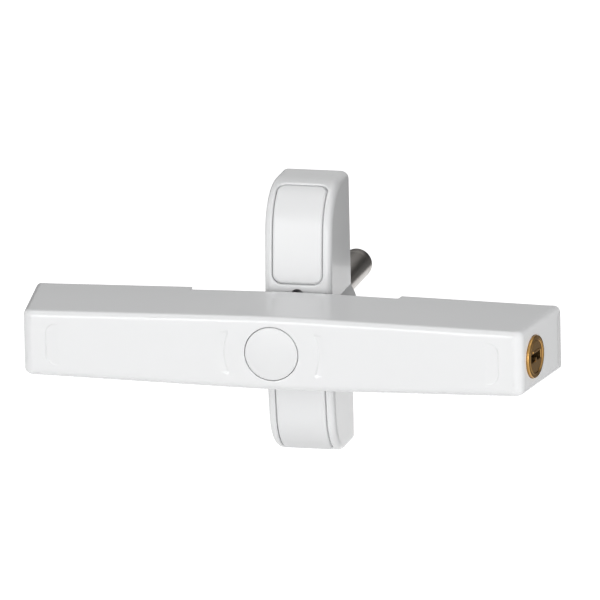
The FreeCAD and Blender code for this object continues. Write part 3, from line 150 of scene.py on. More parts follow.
class LockBoltSettings(bpy.types.PropertyGroup):
    """Sizes of the sleeve nut, the screws and the buffers"""
    sleeve_radius: length("Sleeve radius", "Radius of the sleeve nut", 8.3)
    sleeve_start: length("Sleeve start", "From the sash face to the sleeve nut", 32)
    sleeve_length: length("Sleeve length", "Length of the sleeve nut", 55.3)
    sleeve_bevel: length("Sleeve bevel", "Bevel of the sleeve nut's ends", 0.8)
    socket_half: length("Socket half width", "Half the width across flats of the hexagon socket", 4)
    socket_depth: length("Socket depth", "Depth of the hexagon socket", 5)
    rod_radius: length("Rod radius", "Radius of the threaded rod", 5)


class LockFinishSettings(bpy.types.PropertyGroup):
    """Colours of the lock's finishes"""
    paint: colour("Paint", "White powder coat of the bar and base", (0.80, 0.805, 0.81))
    plastic: colour("Plastic", "White moulded plastic of the screw covers and cap", (0.80, 0.805, 0.81))
    brass: colour("Brass", "Brass of the lock cylinder", (0.54, 0.31, 0.10))
    nickel: colour("Nickel", "Plating of the sleeve nut", (0.50, 0.47, 0.44))
    zinc: colour("Zinc", "Zinc plating of the sheet parts", (0.56, 0.57, 0.58))
    steel: colour("Steel", "Bare steel of the shaft, rod and pins", (0.46, 0.46, 0.47))
    fastener: colour("Fastener steel", "Plating of the screws and nuts", (0.52, 0.52, 0.50))
    bronze: colour("Bronze", "Bronze of the bush and washer", (0.50, 0.34, 0.20))
    rubber: colour("Rubber", "Black rubber of the buffers", (0.025, 0.025, 0.027))


class LockStageSettings(bpy.types.PropertyGroup):
    """Camera and light"""
    azimuth: angle("Azimuth", "How far the camera stands to the right of the front", 14.46)
    elevation: angle("Elevation", "How far the camera stands above the horizon", 15.0)
    roll: angle("Roll", "Turn of the camera about its own axis", -1.27)
    distance: length("Distance", "From the camera to the bar's front", 8000)
    pixel: length("Pixel", "Width of a pixel at the bar's front", 0.525)
    pixels: IntProperty(name="Pixels", description="Width of the picture in pixels", default=600, min=1)
    cap_x: FloatProperty(name="Cap across", description="Where the cap's centre is in the picture",
                         default=271.1)
    cap_y: FloatProperty(name="Cap down", description="Where the cap's centre is in the picture",
                         default=354.2)
    sky: share("Sky", "Strength of the even light from all round", 0.31, 4)
    key: FloatProperty(name="Key", description="Power of the large lamp", default=27, unit="POWER", min=0)
    fill: FloatProperty(name="Fill", description="Power of the right lamp", default=7, unit="POWER", min=0)
    end: FloatProperty(name="End", description="Power of the small lamp at the lock end", default=0.12,
                       unit="POWER", min=0)
    top: FloatProperty(name="Top", description="Power of the lamp overhead", default=11, unit="POWER", min=0)


GROUPS = {
    "lock_base": LockBaseSettings,
    "lock_bar": LockBarSettings,
    "lock_cylinder": LockCylinderSettings,
    "lock_bolt": LockBoltSettings,
    "lock_finish": LockFinishSettings,
    "lock_stage": LockStageSettings,
}


def in_millimetres(settings):
    """The lengths of a settings group in millimetres, with its other values as they are."""
    sizes = SimpleNamespace()
    for name, prop in settings.bl_rna.properties.items():
        if name in {"rna_type", "name"}:
            continue
        value = getattr(settings, name)
        setattr(sizes, name, value * 1000 if prop.unit == "LENGTH" else value)
    return sizes


# Outlines: lists of (point, outward normal) pairs in a plane

def arc(centre, radius, start, end, steps, outward=1):
    """Points along an arc between two angles in degrees."""
    pairs = []
    for step in range(steps + 1):
        turn = math.radians(start + (end - start) * step / steps)
        ray = Vector((math.cos(turn), math.sin(turn)))
        pairs.append((Vector(centre) + ray * radius, ray * outward))
    return pairs


def line(start, end, steps, normal):
    """Points along a straight run, without its two ends."""
    start, end = Vector(start), Vector(end)
    return [(start.lerp(end, step / steps), Vector(normal)) for step in range(1, steps)]


def rounded_rectangle(half_width, low, high, radius, steps=10, spacing=2.0):
    """An anticlockwise rectangle with round corners."""
    left, right = -(half_width - radius), half_width - radius
    bottom, top = low + radius, high - radius
    upright = max(2, round((top - bottom) / spacing))
    flat = max(2, round((right - left) / spacing))
    return (arc((right, bottom), radius, -90, 0, steps)
            + line((half_width, bottom), (half_width, top), upright, (1, 0))
            + arc((right, top), radius, 0, 90, steps)
            + line((right, high), (left, high), flat, (0, 1))
            + arc((left, top), radius, 90, 180, steps)
            + line((-half_width, top), (-half_width, bottom), upright, (-1, 0))
            + arc((left, bottom), radius, 180, 270, steps)
            + line((left, low), (right, low), flat, (0, -1)))


def circle(centre, radius, steps=48):
    return arc(centre, radius, 0, 360, steps)[:-1]


def mirrored(outline, x_sign=1, y_sign=-1):
    """An outline's points and normals turned upside down, or left to right."""
    return [(Vector((point.x * x_sign, point.y * y_sign)), Vector((normal.x * x_sign, normal.y * y_sign)))
            for point, normal in outline]


def moved(outline, outwards):
    """The points of an outline moved along its normals."""
    return [point + normal * outwards for point, normal in outline]


def inside(point, loop):
    """Whether a point lies within a closed loop."""
    x, y = point
    within = False
    for index, (x1, y1) in enumerate(loop):
        x0, y0 = loop[index - 1]
        if (y0 > y) != (y1 > y) and x < (x1 - x0) * (y - y0) / (y1 - y0) + x0:
            within = not within
    return within


def grid(low, high, spacing):
    """Evenly spread points over a rectangle."""
    across = max(1, round((high[0] - low[0]) / spacing))
    along = max(1, round((high[1] - low[1]) / spacing))
    return [Vector((low[0] + (high[0] - low[0]) * i / across, low[1] + (high[1] - low[1]) * j / along))
            for i in range(across + 1) for j in range(along + 1)]


# Skins: meshes that are built from rings and filled regions

class Skin:
    """The points and faces of one piece, in millimetres."""

    def __init__(self):
        self.points = []
        self.faces = []

    def ring(self, points):
        start = len(self.points)
        self.points.extend(Vector(point) for point in points)
        return list(range(start, len(self.points)))

    def strip(self, rings, closed=True):
        """Joins rings of equal length one after another."""
        rings = [self.ring(points) for points in rings]
        for near, far in zip(rings, rings[1:]):
            count = len(near)
            for index in range(count if closed else count - 1):
                after = (index + 1) % count
                self.faces.append((near[index], near[after], far[after], far[index]))

    def fill(self, loops, place, extra=(), clearance=0.0):
        """Fills the region inside the first loop and outside the others with triangles."""
        outer, holes = loops[0], loops[1:]
        grown = [[c + (p - c) * (1 + clearance / max((p - c).length, 1e-6)) for p in hole]
                 for hole in holes for c in [sum(hole, Vector((0, 0))) / len(hole)]]
        kept = [point for point in extra
                if inside(point, outer) and not any(inside(point, hole) for hole in grown)]
        flat, edges = [], []
        for loop in loops:
            start = len(flat)
            flat.extend(loop)
            edges.extend((start + i, start + (i + 1) % len(loop)) for i in range(len(loop)))
        corners, _, triangles, *_ = geometry.delaunay_2d_cdt(flat + kept, edges, [], 1, 1e-4)
        indices = self.ring(place(corner) for corner in corners)
        for triangle in triangles:
            centre = sum((corners[i] for i in triangle), Vector((0, 0))) / 3
            if inside(centre, outer) and not any(inside(centre, hole) for hole in holes):
                self.faces.append(tuple(indices[i] for i in triangle))

    def lathe(self, profile, axis, steps=96, closed=False):
        """Turns a profile of (radius, distance) pairs about an axis."""
        rings = []
        for radius, distance in profile:
            rings.append([axis @ Vector((radius * math.cos(turn), radius * math.sin(turn), distance))
                          for turn in (2 * math.pi * step / steps for step in range(steps))])
        self.strip(rings + rings[:1] if closed else rings)

    def made(self, name, material, body, slot, sharp=38.0):
        """Makes the object, smooth but for its sharp edges, and lets it ride on a body."""
        mesh = bpy.data.meshes.new(name)
        mesh.from_pydata([point / 1000 for point in self.points], [], self.faces)
        work = bmesh.new()
        work.from_mesh(mesh)
        bmesh.ops.remove_doubles(work, verts=work.verts, dist=4e-6)
        bmesh.ops.dissolve_degenerate(work, edges=work.edges, dist=1e-6)
        bmesh.ops.recalc_face_normals(work, faces=work.faces)
        for face in work.faces:
            face.smooth = True
        work.to_mesh(mesh)
        work.free()
        mesh.set_sharp_from_angle(angle=math.radians(sharp))
        piece = bpy.data.objects.new(name, mesh)
        bpy.context.scene.collection.objects.link(piece)
        weighted = piece.modifiers.new("Even normals", "WEIGHTED_NORMAL")
        weighted.keep_sharp = True
        mesh.materials.append(material)
        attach(piece, body)
        return piece


def facing(direction, origin=(0, 0, 0)):
    """A frame whose Z axis is a direction and whose X axis stays level."""
    z_axis = Vector(direction).normalized()
    x_axis = (UP.cross(z_axis) if abs(z_axis.z) < 0.9 else ACROSS).normalized()
    y_axis = z_axis.cross(x_axis)
    turn = Matrix((x_axis, y_axis, z_axis)).transposed().to_4x4()
    return Matrix.Translation(Vector(origin)) @ turn


ROOMWARD = facing((0, -1, 0))
WINDOWWARD = facing((0, 1, 0))
POLE = 0.0001  # the radius of a turned profile where it meets its axis
BACK_BEVEL = 0.4  # the bevel of a shell's back edges


def on_plane(axis, height):
    """A function that carries flat points to a height in a frame."""
    return lambda point: axis @ Vector((point.x, point.y, height))


def back_rim(wall, depth):
    """Steps round the bevelled back edge of a shell from outside to inside: (inwards, from the back)."""
    return [(0, BACK_BEVEL), (0.12, 0.12), (BACK_BEVEL, 0), (wall - BACK_BEVEL, 0), (wall, BACK_BEVEL),
            (wall, depth)]


# Finishes

def node_group(name, inputs, outputs):
    """An empty shader group with named float or colour sockets."""
    group = bpy.data.node_groups.new(name, "ShaderNodeTree")
    for socket, default in inputs.items():
        made = group.interface.new_socket(socket, in_out="INPUT", socket_type=(
            "NodeSocketColor" if isinstance(default, tuple) else "NodeSocketFloat"))
        made.default_value = (*default, 1) if isinstance(default, tuple) else default
    for socket, kind in outputs.items():
        group.interface.new_socket(socket, in_out="OUTPUT", socket_type=kind)
    return group, group.nodes.new("NodeGroupInput"), group.nodes.new("NodeGroupOutput")


def maths(tree, operation, first, second):
    node = tree.nodes.new("ShaderNodeMath")
    node.operation = operation
    for socket, value in zip(node.inputs, (first, second)):
        if isinstance(value, (int, float)):
            socket.default_value = value
        else:
            tree.links.new(value, socket)
    return node.outputs[0]


def noise(tree, vector, scale, detail=3.0, roughness=0.5):
    node = tree.nodes.new("ShaderNodeTexNoise")
    tree.links.new(vector, node.inputs["Vector"])
    node.inputs["Scale"].default_value = scale
    node.inputs["Detail"].default_value = detail
    node.inputs["Roughness"].default_value = roughness
    return node.outputs["Fac"]


def stretched(tree, x, y, z):
    """Object coordinates that are stretched along some axes."""
    place = tree.nodes.new("ShaderNodeTexCoord")
    mapping = tree.nodes.new("ShaderNodeMapping")
    mapping.inputs["Scale"].default_value = (x, y, z)
    tree.links.new(place.outputs["Object"], mapping.inputs["Vector"])
    return mapping.outputs["Vector"]


def orange_peel_group():
    """The fine ripple of a powder coat as a height, and a faint unevenness as a mask."""
    group, entry, result = node_group("orange_peel", {"Ripple": 0.6, "Grain": 0.4},
                                      {"Height": "NodeSocketFloat", "Mask": "NodeSocketFloat"})
    plain = stretched(group, 1, 1, 1)
    ripple = maths(group, "MULTIPLY", noise(group, plain, 420, 2.0), entry.outputs["Ripple"])
    grain = maths(group, "MULTIPLY", noise(group, plain, 1800, 2.0), entry.outputs["Grain"])
    group.links.new(maths(group, "ADD", ripple, grain), result.inputs["Height"])
    group.links.new(noise(group, plain, 24, 3.0), result.inputs["Mask"])
    return group


def turned_marks_group():
    """Fine rings left by a lathe about the Y axis or along it, as a height and a mask."""
    group, entry, result = node_group("turned_marks", {"Depth": 0.5},
                                      {"Height": "NodeSocketFloat", "Mask": "NodeSocketFloat"})
    streaks = noise(group, stretched(group, 0.02, 1, 0.02), 5200, 2.0, 0.6)
    fine = noise(group, stretched(group, 1, 1, 1), 2600, 2.0)
    both = maths(group, "ADD", maths(group, "MULTIPLY", streaks, 0.8), maths(group, "MULTIPLY", fine, 0.2))
    group.links.new(maths(group, "MULTIPLY", both, entry.outputs["Depth"]), result.inputs["Height"])
    group.links.new(both, result.inputs["Mask"])
    return group


def rolled_sheet_group():
    """The lengthwise grain of rolled and plated sheet, with a cloudy mask."""
    group, entry, result = node_group("rolled_sheet", {"Grain": 0.4},
                                      {"Height": "NodeSocketFloat", "Mask": "NodeSocketFloat"})
    grain = noise(group, stretched(group, 0.06, 1, 1), 1500, 3.0, 0.6)
    group.links.new(maths(group, "MULTIPLY", grain, entry.outputs["Grain"]), result.inputs["Height"])
    group.links.new(noise(group, stretched(group, 1, 1, 1), 110, 4.0, 0.6), result.inputs["Mask"])
    return group


def tint_group():
    """Moves a colour a little towards a darker or warmer one by a mask."""
    group, entry, result = node_group("tint", {"Colour": (0.8, 0.8, 0.8), "Tint": (0.7, 0.7, 0.7),
                                               "Mask": 0.5, "Amount": 0.2}, {"Colour": "NodeSocketColor"})
    mix = group.nodes.new("ShaderNodeMix")
    mix.data_type = "RGBA"
    group.links.new(maths(group, "MULTIPLY", entry.outputs["Mask"], entry.outputs["Amount"]),
                    mix.inputs["Factor"])
    group.links.new(entry.outputs["Colour"], mix.inputs["A"])
    group.links.new(entry.outputs["Tint"], mix.inputs["B"])
    group.links.new(mix.outputs["Result"], result.inputs["Colour"])
    return group


def placed(tree, group, **values):
    """A group put into a material, with its own values."""
    node = tree.nodes.new("ShaderNodeGroup")
    node.node_tree = group
    for name, value in values.items():
        node.inputs[name].default_value = (*value, 1) if hasattr(value, "__len__") else value
    return node


def ranged(tree, value, low, high):
    """Stretches a mask from 0..1 to a range."""
    node = tree.nodes.new("ShaderNodeMapRange")
    node.inputs["To Min"].default_value = low
    node.inputs["To Max"].default_value = high
    tree.links.new(value, node.inputs["Value"])
    return node.outputs["Result"]


def finish(name, base, darker, pattern, bump, roughness, amount=0.25, metallic=0.0, coat=0.0, **values):
    """A material whose colour, roughness and bump vary with one of the shared patterns."""
    material = bpy.data.materials.new(name)
    material.use_nodes = True
    tree = material.node_tree
    shader = tree.nodes["Principled BSDF"]
    texture = placed(tree, pattern, **values)
    tint = placed(tree, bpy.data.node_groups["tint"], Colour=base, Tint=darker, Amount=amount)
    tree.links.new(texture.outputs["Mask"], tint.inputs["Mask"])
    tree.links.new(tint.outputs["Colour"], shader.inputs["Base Color"])
    tree.links.new(ranged(tree, texture.outputs["Mask"], *roughness), shader.inputs["Roughness"])
    relief = tree.nodes.new("ShaderNodeBump")
    relief.inputs["Strength"].default_value = bump[0]
    relief.inputs["Distance"].default_value = bump[1] / 1000
    tree.links.new(texture.outputs["Height"], relief.inputs["Height"])
    tree.links.new(relief.outputs["Normal"], shader.inputs["Normal"])
    shader.inputs["Metallic"].default_value = metallic
    shader.inputs["IOR"].default_value = 1.5
    shader.inputs["Coat Weight"].default_value = coat
    shader.inputs["Coat Roughness"].default_value = 0.08
    return material


# Each row: name, colour, the shares of it that are left where it is lightest and darkest, pattern, strength
# and height of the bump, lowest and highest roughness, and what differs from an even, bare, unplated surface.
FINISHES = (
    ("white_paint", "paint", 1, 0.97, "orange_peel", (0.10, 0.05), (0.25, 0.28), {"coat": 0.35}),
    ("white_plastic", "plastic", 1, 0.95, "orange_peel", (0.08, 0.04), (0.36, 0.44),
     {"Ripple": 0.2, "Grain": 0.8}),
    ("lock_brass", "brass", 1, 0.55, "turned_marks", (0.25, 0.03), (0.2, 0.38),
     {"amount": 0.5, "metallic": 1.0}),
    # shaded_brass is the brass at a quarter of its brightness and less metallic: painted shade for the inside
    # of the keyway
    ("shaded_brass", "brass", 0.25, 0.12, "turned_marks", (0.25, 0.03), (0.45, 0.6),
     {"amount": 0.5, "metallic": 0.6}),
    ("nickel", "nickel", 1, 0.6, "turned_marks", (0.5, 0.05), (0.2, 0.42), {"amount": 0.5, "metallic": 1.0}),
    ("zinc_plate", "zinc", 1, 0.75, "rolled_sheet", (0.2, 0.03), (0.34, 0.55),
     {"amount": 0.6, "metallic": 1.0}),
    ("steel", "steel", 1, 0.7, "turned_marks", (0.3, 0.03), (0.26, 0.42), {"amount": 0.4, "metallic": 1.0}),
    ("fastener_steel", "fastener", 1, 0.7, "rolled_sheet", (0.15, 0.02), (0.28, 0.45),
     {"amount": 0.5, "metallic": 1.0}),
    ("bearing_bronze", "bronze", 1, 0.7, "turned_marks", (0.3, 0.03), (0.3, 0.45),
     {"amount": 0.5, "metallic": 1.0}),
    ("black_rubber", "rubber", 1, 0.5, "orange_peel", (0.3, 0.1), (0.62, 0.8), {"amount": 0.5, "Grain": 1.0}),
)


def make_finishes(colours):
    """Makes every finish of the lock, once. The frame's own materials give up their names."""
    if any(material.get("lock_finish") for material in bpy.data.materials):
        return
    for material in list(bpy.data.materials):
        material.name = "packed_" + material.name
    patterns = {group.name: group for group in (orange_peel_group(), turned_marks_group(),
                                                rolled_sheet_group())}
    tint_group()
    for name, colour_name, lightest, darkest, pattern, bump, roughness, options in FINISHES:
        shade = getattr(colours, colour_name)
        base, darker = (tuple(part * left for part in shade) for left in (lightest, darkest))
        material = finish(name, base, darker, patterns[pattern], bump, roughness, **options)
        material["lock_finish"] = True


def finish_named(name):
    make_finishes(bpy.context.scene.lock_finish)
    return bpy.data.materials[name]


# Base

# Degrees of the edge rounding that are made of strips. The filled front has the rest.
STRIP_TURN, TURN_STEP = 50, 10
MESH_STEP = 2.0  # between the points that carry a bowed face


class BaseForm:
    """The outer form of the base, on a sheet that is laid along its side view: X across, U along."""

    def __init__(self, sizes):
        s = self.sizes = sizes
        self.bow_centre = s.bow_apex - s.bow_radius
        self.roll_z = s.half_length - s.end_roll
        self.lean = math.asin(self.roll_z / (s.bow_radius - s.end_roll))
        self.roll_centre = self.bow_centre + (s.bow_radius - s.end_roll) * math.cos(self.lean)
        self.bow_end = s.bow_radius * self.lean
        self.roll_end = self.bow_end + s.end_roll * (math.pi / 2 - self.lean)
        self.end = self.roll_end + self.roll_centre - BACK_BEVEL
        x = s.half_width + s.hub_blend
        self.hollow = Vector((x, math.sqrt((s.hub_radius + s.hub_blend) ** 2 - x * x)))
        touch = math.degrees(math.atan2(self.hollow.y, self.hollow.x))
        self.hub = (arc((0, 0), s.hub_radius, 0, touch, 18)
                    + arc(self.hollow, s.hub_blend, touch + 180, 180, 12, -1)[1:])
        steps = [self.hollow.y + (self.bow_end - self.hollow.y) * k / 12 for k in range(1, 13)]
        steps += [self.bow_end + (self.roll_end - self.bow_end) * k / 26 for k in range(1, 27)]
        steps += [self.roll_end + (self.end - self.roll_end) * k / 4 for k in range(1, 5)]
        arm = [(Vector((s.half_width, u)), Vector((1, 0))) for u in steps]
        self.arm_count = len(arm)
        self.side = mirrored(self.hub[1:] + arm)[::-1] + self.hub + arm

    def section(self, u):
        """The point and the outward normal of the side view at a way along it, as (height, stand-off)."""
        s = self.sizes
        sign, way = math.copysign(1, u), abs(u)
        if way <= self.bow_end:
            turn = way / s.bow_radius
            height, stand_off = s.bow_radius * math.sin(turn), self.bow_centre + s.bow_radius * math.cos(turn)
        elif way <= self.roll_end:
            turn = self.lean + (way - self.bow_end) / s.end_roll
            height = self.roll_z + s.end_roll * math.sin(turn)
            stand_off = self.roll_centre + s.end_roll * math.cos(turn)
        else:
            turn, height, stand_off = math.pi / 2, s.half_length, self.roll_centre - way + self.roll_end
        return Vector((sign * height, stand_off)), Vector((sign * math.sin(turn), math.cos(turn)))

    def along(self, z):
        """The way along the side view to a height."""
        s = self.sizes
        if z <= s.bow_radius * math.sin(self.lean):
            return s.bow_radius * math.asin(z / s.bow_radius)
        return self.bow_end + s.end_roll * (math.asin((z - self.roll_z) / s.end_roll) - self.lean)

    def rounded_depth(self, turn):
        """How far inside the sides the edge rounding is after a turn in degrees."""
        return self.sizes.edge_radius * (1 - math.cos(math.radians(turn)))

    def within(self, x, u):
        """The distance of a point of the sheet from the base's sides."""
        s = self.sizes
        x, u = abs(x), abs(u)
        if u >= self.hollow.y:
            return s.half_width - x
        if u * self.hollow.x <= x * self.hollow.y:
            return s.hub_radius - math.hypot(x, u)
        return math.hypot(self.hollow.x - x, self.hollow.y - u) - s.hub_blend

    def under(self, spot, drop):
        """A point at a drop below the unrounded front."""
        point, normal = self.section(spot.y)
        point = point - normal * drop
        return Vector((spot.x, -point.y, point.x))

    def front(self, spot, drop=0.0):
        """A point of the front with its rounded edges, or at a drop below it."""
        radius = self.sizes.edge_radius
        short = max(0.0, radius - max(0.0, self.within(spot.x, spot.y)))
        return self.under(spot, drop + radius - math.sqrt(radius ** 2 - short ** 2))

    def seat(self, sign, grow=0.0):
        """The outline of a screw cover, or of its seat, on the sheet."""
        s = self.sizes
        ends = (self.along(s.cover_inner - grow), self.along(s.cover_outer + grow))
        low, high = sorted(sign * end for end in ends)
        return rounded_rectangle(s.cover_half_width + grow, low, high, s.cover_corner + grow)

    def rear(self):
        """The outline of the base's back, anticlockwise."""
        s = self.sizes
        corner = (s.half_width - s.edge_radius, s.half_length - s.edge_radius)
        quarter = (self.hub + arc(corner, s.edge_radius, 0, 90, 9)
                   + line((corner[0], s.half_length), (0, s.half_length), 6, (0, 1)))
        top = quarter + [(Vector((0, s.half_length)), Vector((0, 1)))]
        top += mirrored(quarter[::-1], -1, 1)
        return top + mirrored(top[1:-1])[::-1]


def in_space(point, stand_off):
    """A point of the front view at a stand-off."""
    return Vector((point.x, -stand_off, point.y))


def build_base_sides(form, skin):
    """The rounded long edges, the sides down to the back and the rim of the back."""
    s = form.sizes
    for side in (1, -1):
        rings = []
        for turn in range(0, STRIP_TURN + 1, TURN_STEP):
            ring = moved(form.side, -form.rounded_depth(turn))
            rings.append([form.front(Vector((side * spot.x, spot.y))) for spot in ring])
        skin.strip(rings, closed=False)
        hub = form.side[form.arm_count:-form.arm_count]
        skin.strip([[form.under(Vector((side * p.x, p.y)), s.edge_radius) for p, _ in hub],
                    [in_space(Vector((side * p.x, p.y)), BACK_BEVEL) for p, _ in hub]], closed=False)
        for end in (1, -1):
            arm = form.side[-form.arm_count - 1:]
            spots = [form.under(Vector((0, end * p.y)), s.edge_radius) for p, _ in reversed(arm)]
            loop = [Vector((end * form.hollow.y, -BACK_BEVEL))] + [Vector((spot.z, spot.y)) for spot in spots]
            skin.fill([loop], lambda spot: Vector((side * s.half_width, spot.y, spot.x)))
    rear = form.rear()
    skin.strip([[in_space(p - n * depth, stand_off) for p, n in rear]
                for depth, stand_off in reversed(back_rim(s.wall, 16))])


def build_base_openings(form, skin):
    """The rolled seats of the covers, the index holes and the boss. Returns what they cut from the front."""
    sizes = form.sizes
    ledge = 2.2
    holes = []
    for sign in (1, -1):
        seat = form.seat(sign, sizes.seat_gap)
        rolls = []
        for step in range(7):
            turn = math.radians(90 * step / 6)
            outwards = sizes.seat_roll * (1 - math.sin(turn))
            rolls.append([form.front(spot, sizes.seat_roll * (1 - math.cos(turn)))
                          for spot in moved(seat, outwards)])
        for out, drop in ((0, sizes.cover_thickness), (-ledge, sizes.cover_thickness), (-ledge, sizes.wall)):
            rolls.append([form.under(spot, drop) for spot in moved(seat, out)])
        skin.strip(rolls)
        holes.append(moved(seat, sizes.seat_roll))
    for number in range(4):
        turn = math.radians(90 * number)
        centre = Vector((math.cos(turn), math.sin(turn))) * sizes.index_circle
        hole = circle(centre, sizes.index_hole, 40)
        skin.strip([[form.front(spot, drop) for spot in moved(hole, out)]
                    for out, drop in ((0.4, 0), (0.2, 0.06), (0.06, 0.2), (0, 0.4))]
                   + [[in_space(spot, sizes.index_front) for spot in moved(hole, 0)]])
        holes.append(moved(hole, 0.4))
    boss = circle((0, 0), sizes.boss_radius, 72)
    skin.strip([[form.front(spot, -rise) for spot in moved(boss, out)]
                for out, rise in ((0.5, 0), (0.15, 0.15), (0, 0.5))]
               + [[in_space(spot, sizes.boss_front - drop) for spot in moved(boss, -back)]
                  for back, drop in ((0, 0.4), (0.4, 0), (sizes.boss_radius - sizes.bore, 0))]
               + [[in_space(spot, sizes.index_front)
                   for spot in moved(boss, sizes.bore - sizes.boss_radius)]])
    holes.append(moved(boss, 0.5))
    return holes


def build_base_housing(sizes):
    """The painted shell of the base: its front is filled last, round all that opens in it."""
    form = BaseForm(sizes)
    skin = Skin()
    build_base_sides(form, skin)
    holes = build_base_openings(form, skin)
    depth = form.rounded_depth(STRIP_TURN)
    right = moved(form.side, -depth)
    top = [Vector((p.x, form.end)) for p, _ in form.rear() if p.y > sizes.half_length - sizes.edge_radius
           and abs(p.x) < sizes.half_width - depth - 0.01]
    loop = right + top + [Vector((-p.x, p.y)) for p in reversed(right)]
    loop += [Vector((p.x, -p.y)) for p in reversed(top)]
    far = form.end - 0.4
    extra = [spot for spot in grid((-sizes.hub_radius, -far), (sizes.hub_radius, far), MESH_STEP)
             if form.within(spot.x, spot.y) > sizes.edge_radius]
    for turn in range(STRIP_TURN + TURN_STEP, 91, TURN_STEP):
        for spot in moved(form.side, -form.rounded_depth(turn))[1:-1]:
            extra += [spot, Vector((-spot.x, spot.y))]
    skin.fill([loop] + holes, form.front, extra, 0.3)
    piece = skin.made("base_shell", finish_named("white_paint"), "base", "white_paint")
    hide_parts("base_housing")


def build_screw_covers(sizes):
    """Two bowed plates with rolled edges, in the base's seats."""
    form = BaseForm(sizes)
    roll, thick = sizes.cover_roll, sizes.cover_thickness
    for name, sign in (("upper", 1), ("lower", -1)):
        outline = form.seat(sign)
        skin = Skin()
        rings = [[form.under(spot, thick) for spot in moved(outline, -0.3)],
                 [form.under(spot, thick - 0.3) for spot in moved(outline, 0)]]
        for step in range(8):
            turn = math.radians(90 * step / 7)
            back = roll * (1 - math.cos(turn))
            rings.append([form.under(spot, roll * (1 - math.sin(turn))) for spot in moved(outline, -back)])
        skin.strip(rings)
        low, high = sorted(point.y for point in (outline[0][0], max(outline, key=lambda pair: pair[0].y)[0]))
        margin = moved(outline, -roll - 0.6)
        half = sizes.cover_half_width
        extra = [spot for spot in grid((-half, low), (half, high), MESH_STEP) if inside(spot, margin)]
        skin.fill([moved(outline, -roll)], lambda spot: form.under(spot, 0), extra)
        skin.fill([moved(outline, -0.3)], lambda spot: form.under(spot, thick), extra)
        piece = skin.made(name + "_cover_plate", finish_named("white_plastic"), "base", "white_paint")
        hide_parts(name + "_screw_cover")


# Bar

FIELD_EDGE = 0.7  # how far the edge of a sunk field slopes
OUTER_RUN_OUT, INNER_RUN_OUT = 7.6, 4.6  # how far a field runs from its ends until it is level again
TAPER_SOFTNESS = 14.0  # how gently the taper turns at the pivot


class BarForm:
    """The outer form of the bar: its plan, its tapered height and its sunk fields."""

    def __init__(self, sizes):
        s = self.sizes = sizes
        turn_x = s.half_front - s.corner_radius * (1 - math.sin(s.slant)) / math.cos(s.slant)
        left = arc((-turn_x, s.corner_radius - s.front), s.corner_radius,
                   180 + math.degrees(s.slant), 270, 16)
        first = left[0][0]
        along = Vector((-math.sin(s.slant), math.cos(s.slant)))
        reach = (-(s.back + BACK_BEVEL) - first.y) / along.y
        out = Vector((-math.cos(s.slant), -math.sin(s.slant)))
        side = [(first + along * reach * step / 12, out) for step in range(12, 0, -1)]
        front = line((-turn_x, -s.front), (turn_x, -s.front), 130, (0, -1))
        half = side + left
        self.plan = half + front + mirrored(half[::-1], -1, 1)
        self.side_count, self.arc_count = len(side), len(left)

    def top(self, x):
        """Half the height of the bar at a distance from the pivot."""
        s, soft = self.sizes, TAPER_SOFTNESS
        fall = (math.hypot(x, soft) - soft) / (math.hypot(s.half_front, soft) - soft)
        return s.mid_half - (s.mid_half - s.end_half) * fall

    def sink(self, x, z):
        """How deep the front is sunk at a point: each field is deepest at its ends and runs out."""
        s = self.sizes
        beside = s.field_half - abs(z)
        outer = s.field_outer - abs(x)
        corner = s.field_corner
        if outer < corner and beside < corner:
            near = corner - math.hypot(corner - outer, corner - beside)
        else:
            near = min(outer, beside)
        portion = 0.0
        if near > 0:
            portion = eased(near / FIELD_EDGE) * max(0.0, 1 - max(outer, 0) / OUTER_RUN_OUT)
        inner = math.hypot(x, z) - s.field_inner
        near = min(inner, beside)
        if near > 0:
            portion += 0.8 * eased(near / FIELD_EDGE) * max(0.0, 1 - inner / INNER_RUN_OUT)
        return s.field_depth * portion

    def rear(self, x):
        """The stand-off of the back edge: the middle of the bar is set back."""
        s = self.sizes
        return s.back + (s.relief_face - s.back) * eased((s.relief_half + 0.5 - abs(x)) / 1.0)

    def back_steps(self, places):
        """Places along the back from right to left, with close ones where the middle is set back."""
        edges = [side * (self.sizes.relief_half + 0.5 - k / 10) for side in (1, -1) for k in range(11)]
        return sorted({round(x, 3) for x in places + edges}, reverse=True)


def eased(share_done):
    """A soft step from 0 to 1."""
    t = min(1.0, max(0.0, share_done))
    return t * t * (3 - 2 * t)


def build_bar_edges(form, skin):
    """The rounded long edges, and the top and bottom from them to the back."""
    sizes = form.sizes
    radius = sizes.edge_radius
    for side in (1, -1):
        rings = []
        for step in range(10):
            turn = math.radians(90 * step / 9)
            spots = moved(form.plan, -radius * (1 - math.cos(turn)))
            rings.append([Vector((p.x, p.y, side * (form.top(p.x) - radius * (1 - math.sin(turn)))))
                          for p in spots])
        skin.strip(rings, closed=False)
        inner = moved(form.plan, -radius)
        start, width = inner[0].x, inner[-1].x - inner[0].x
        back = [Vector((x, -(form.rear(x) + BACK_BEVEL)))
                for x in form.back_steps([start + width * k / 60 for k in range(1, 60)])]
        extra = grid((-sizes.half_front, -sizes.front + 6), (sizes.half_front, -sizes.back - 8), 6.0)
        skin.fill([inner + back], lambda p: Vector((p.x, p.y, side * form.top(p.x))), extra)


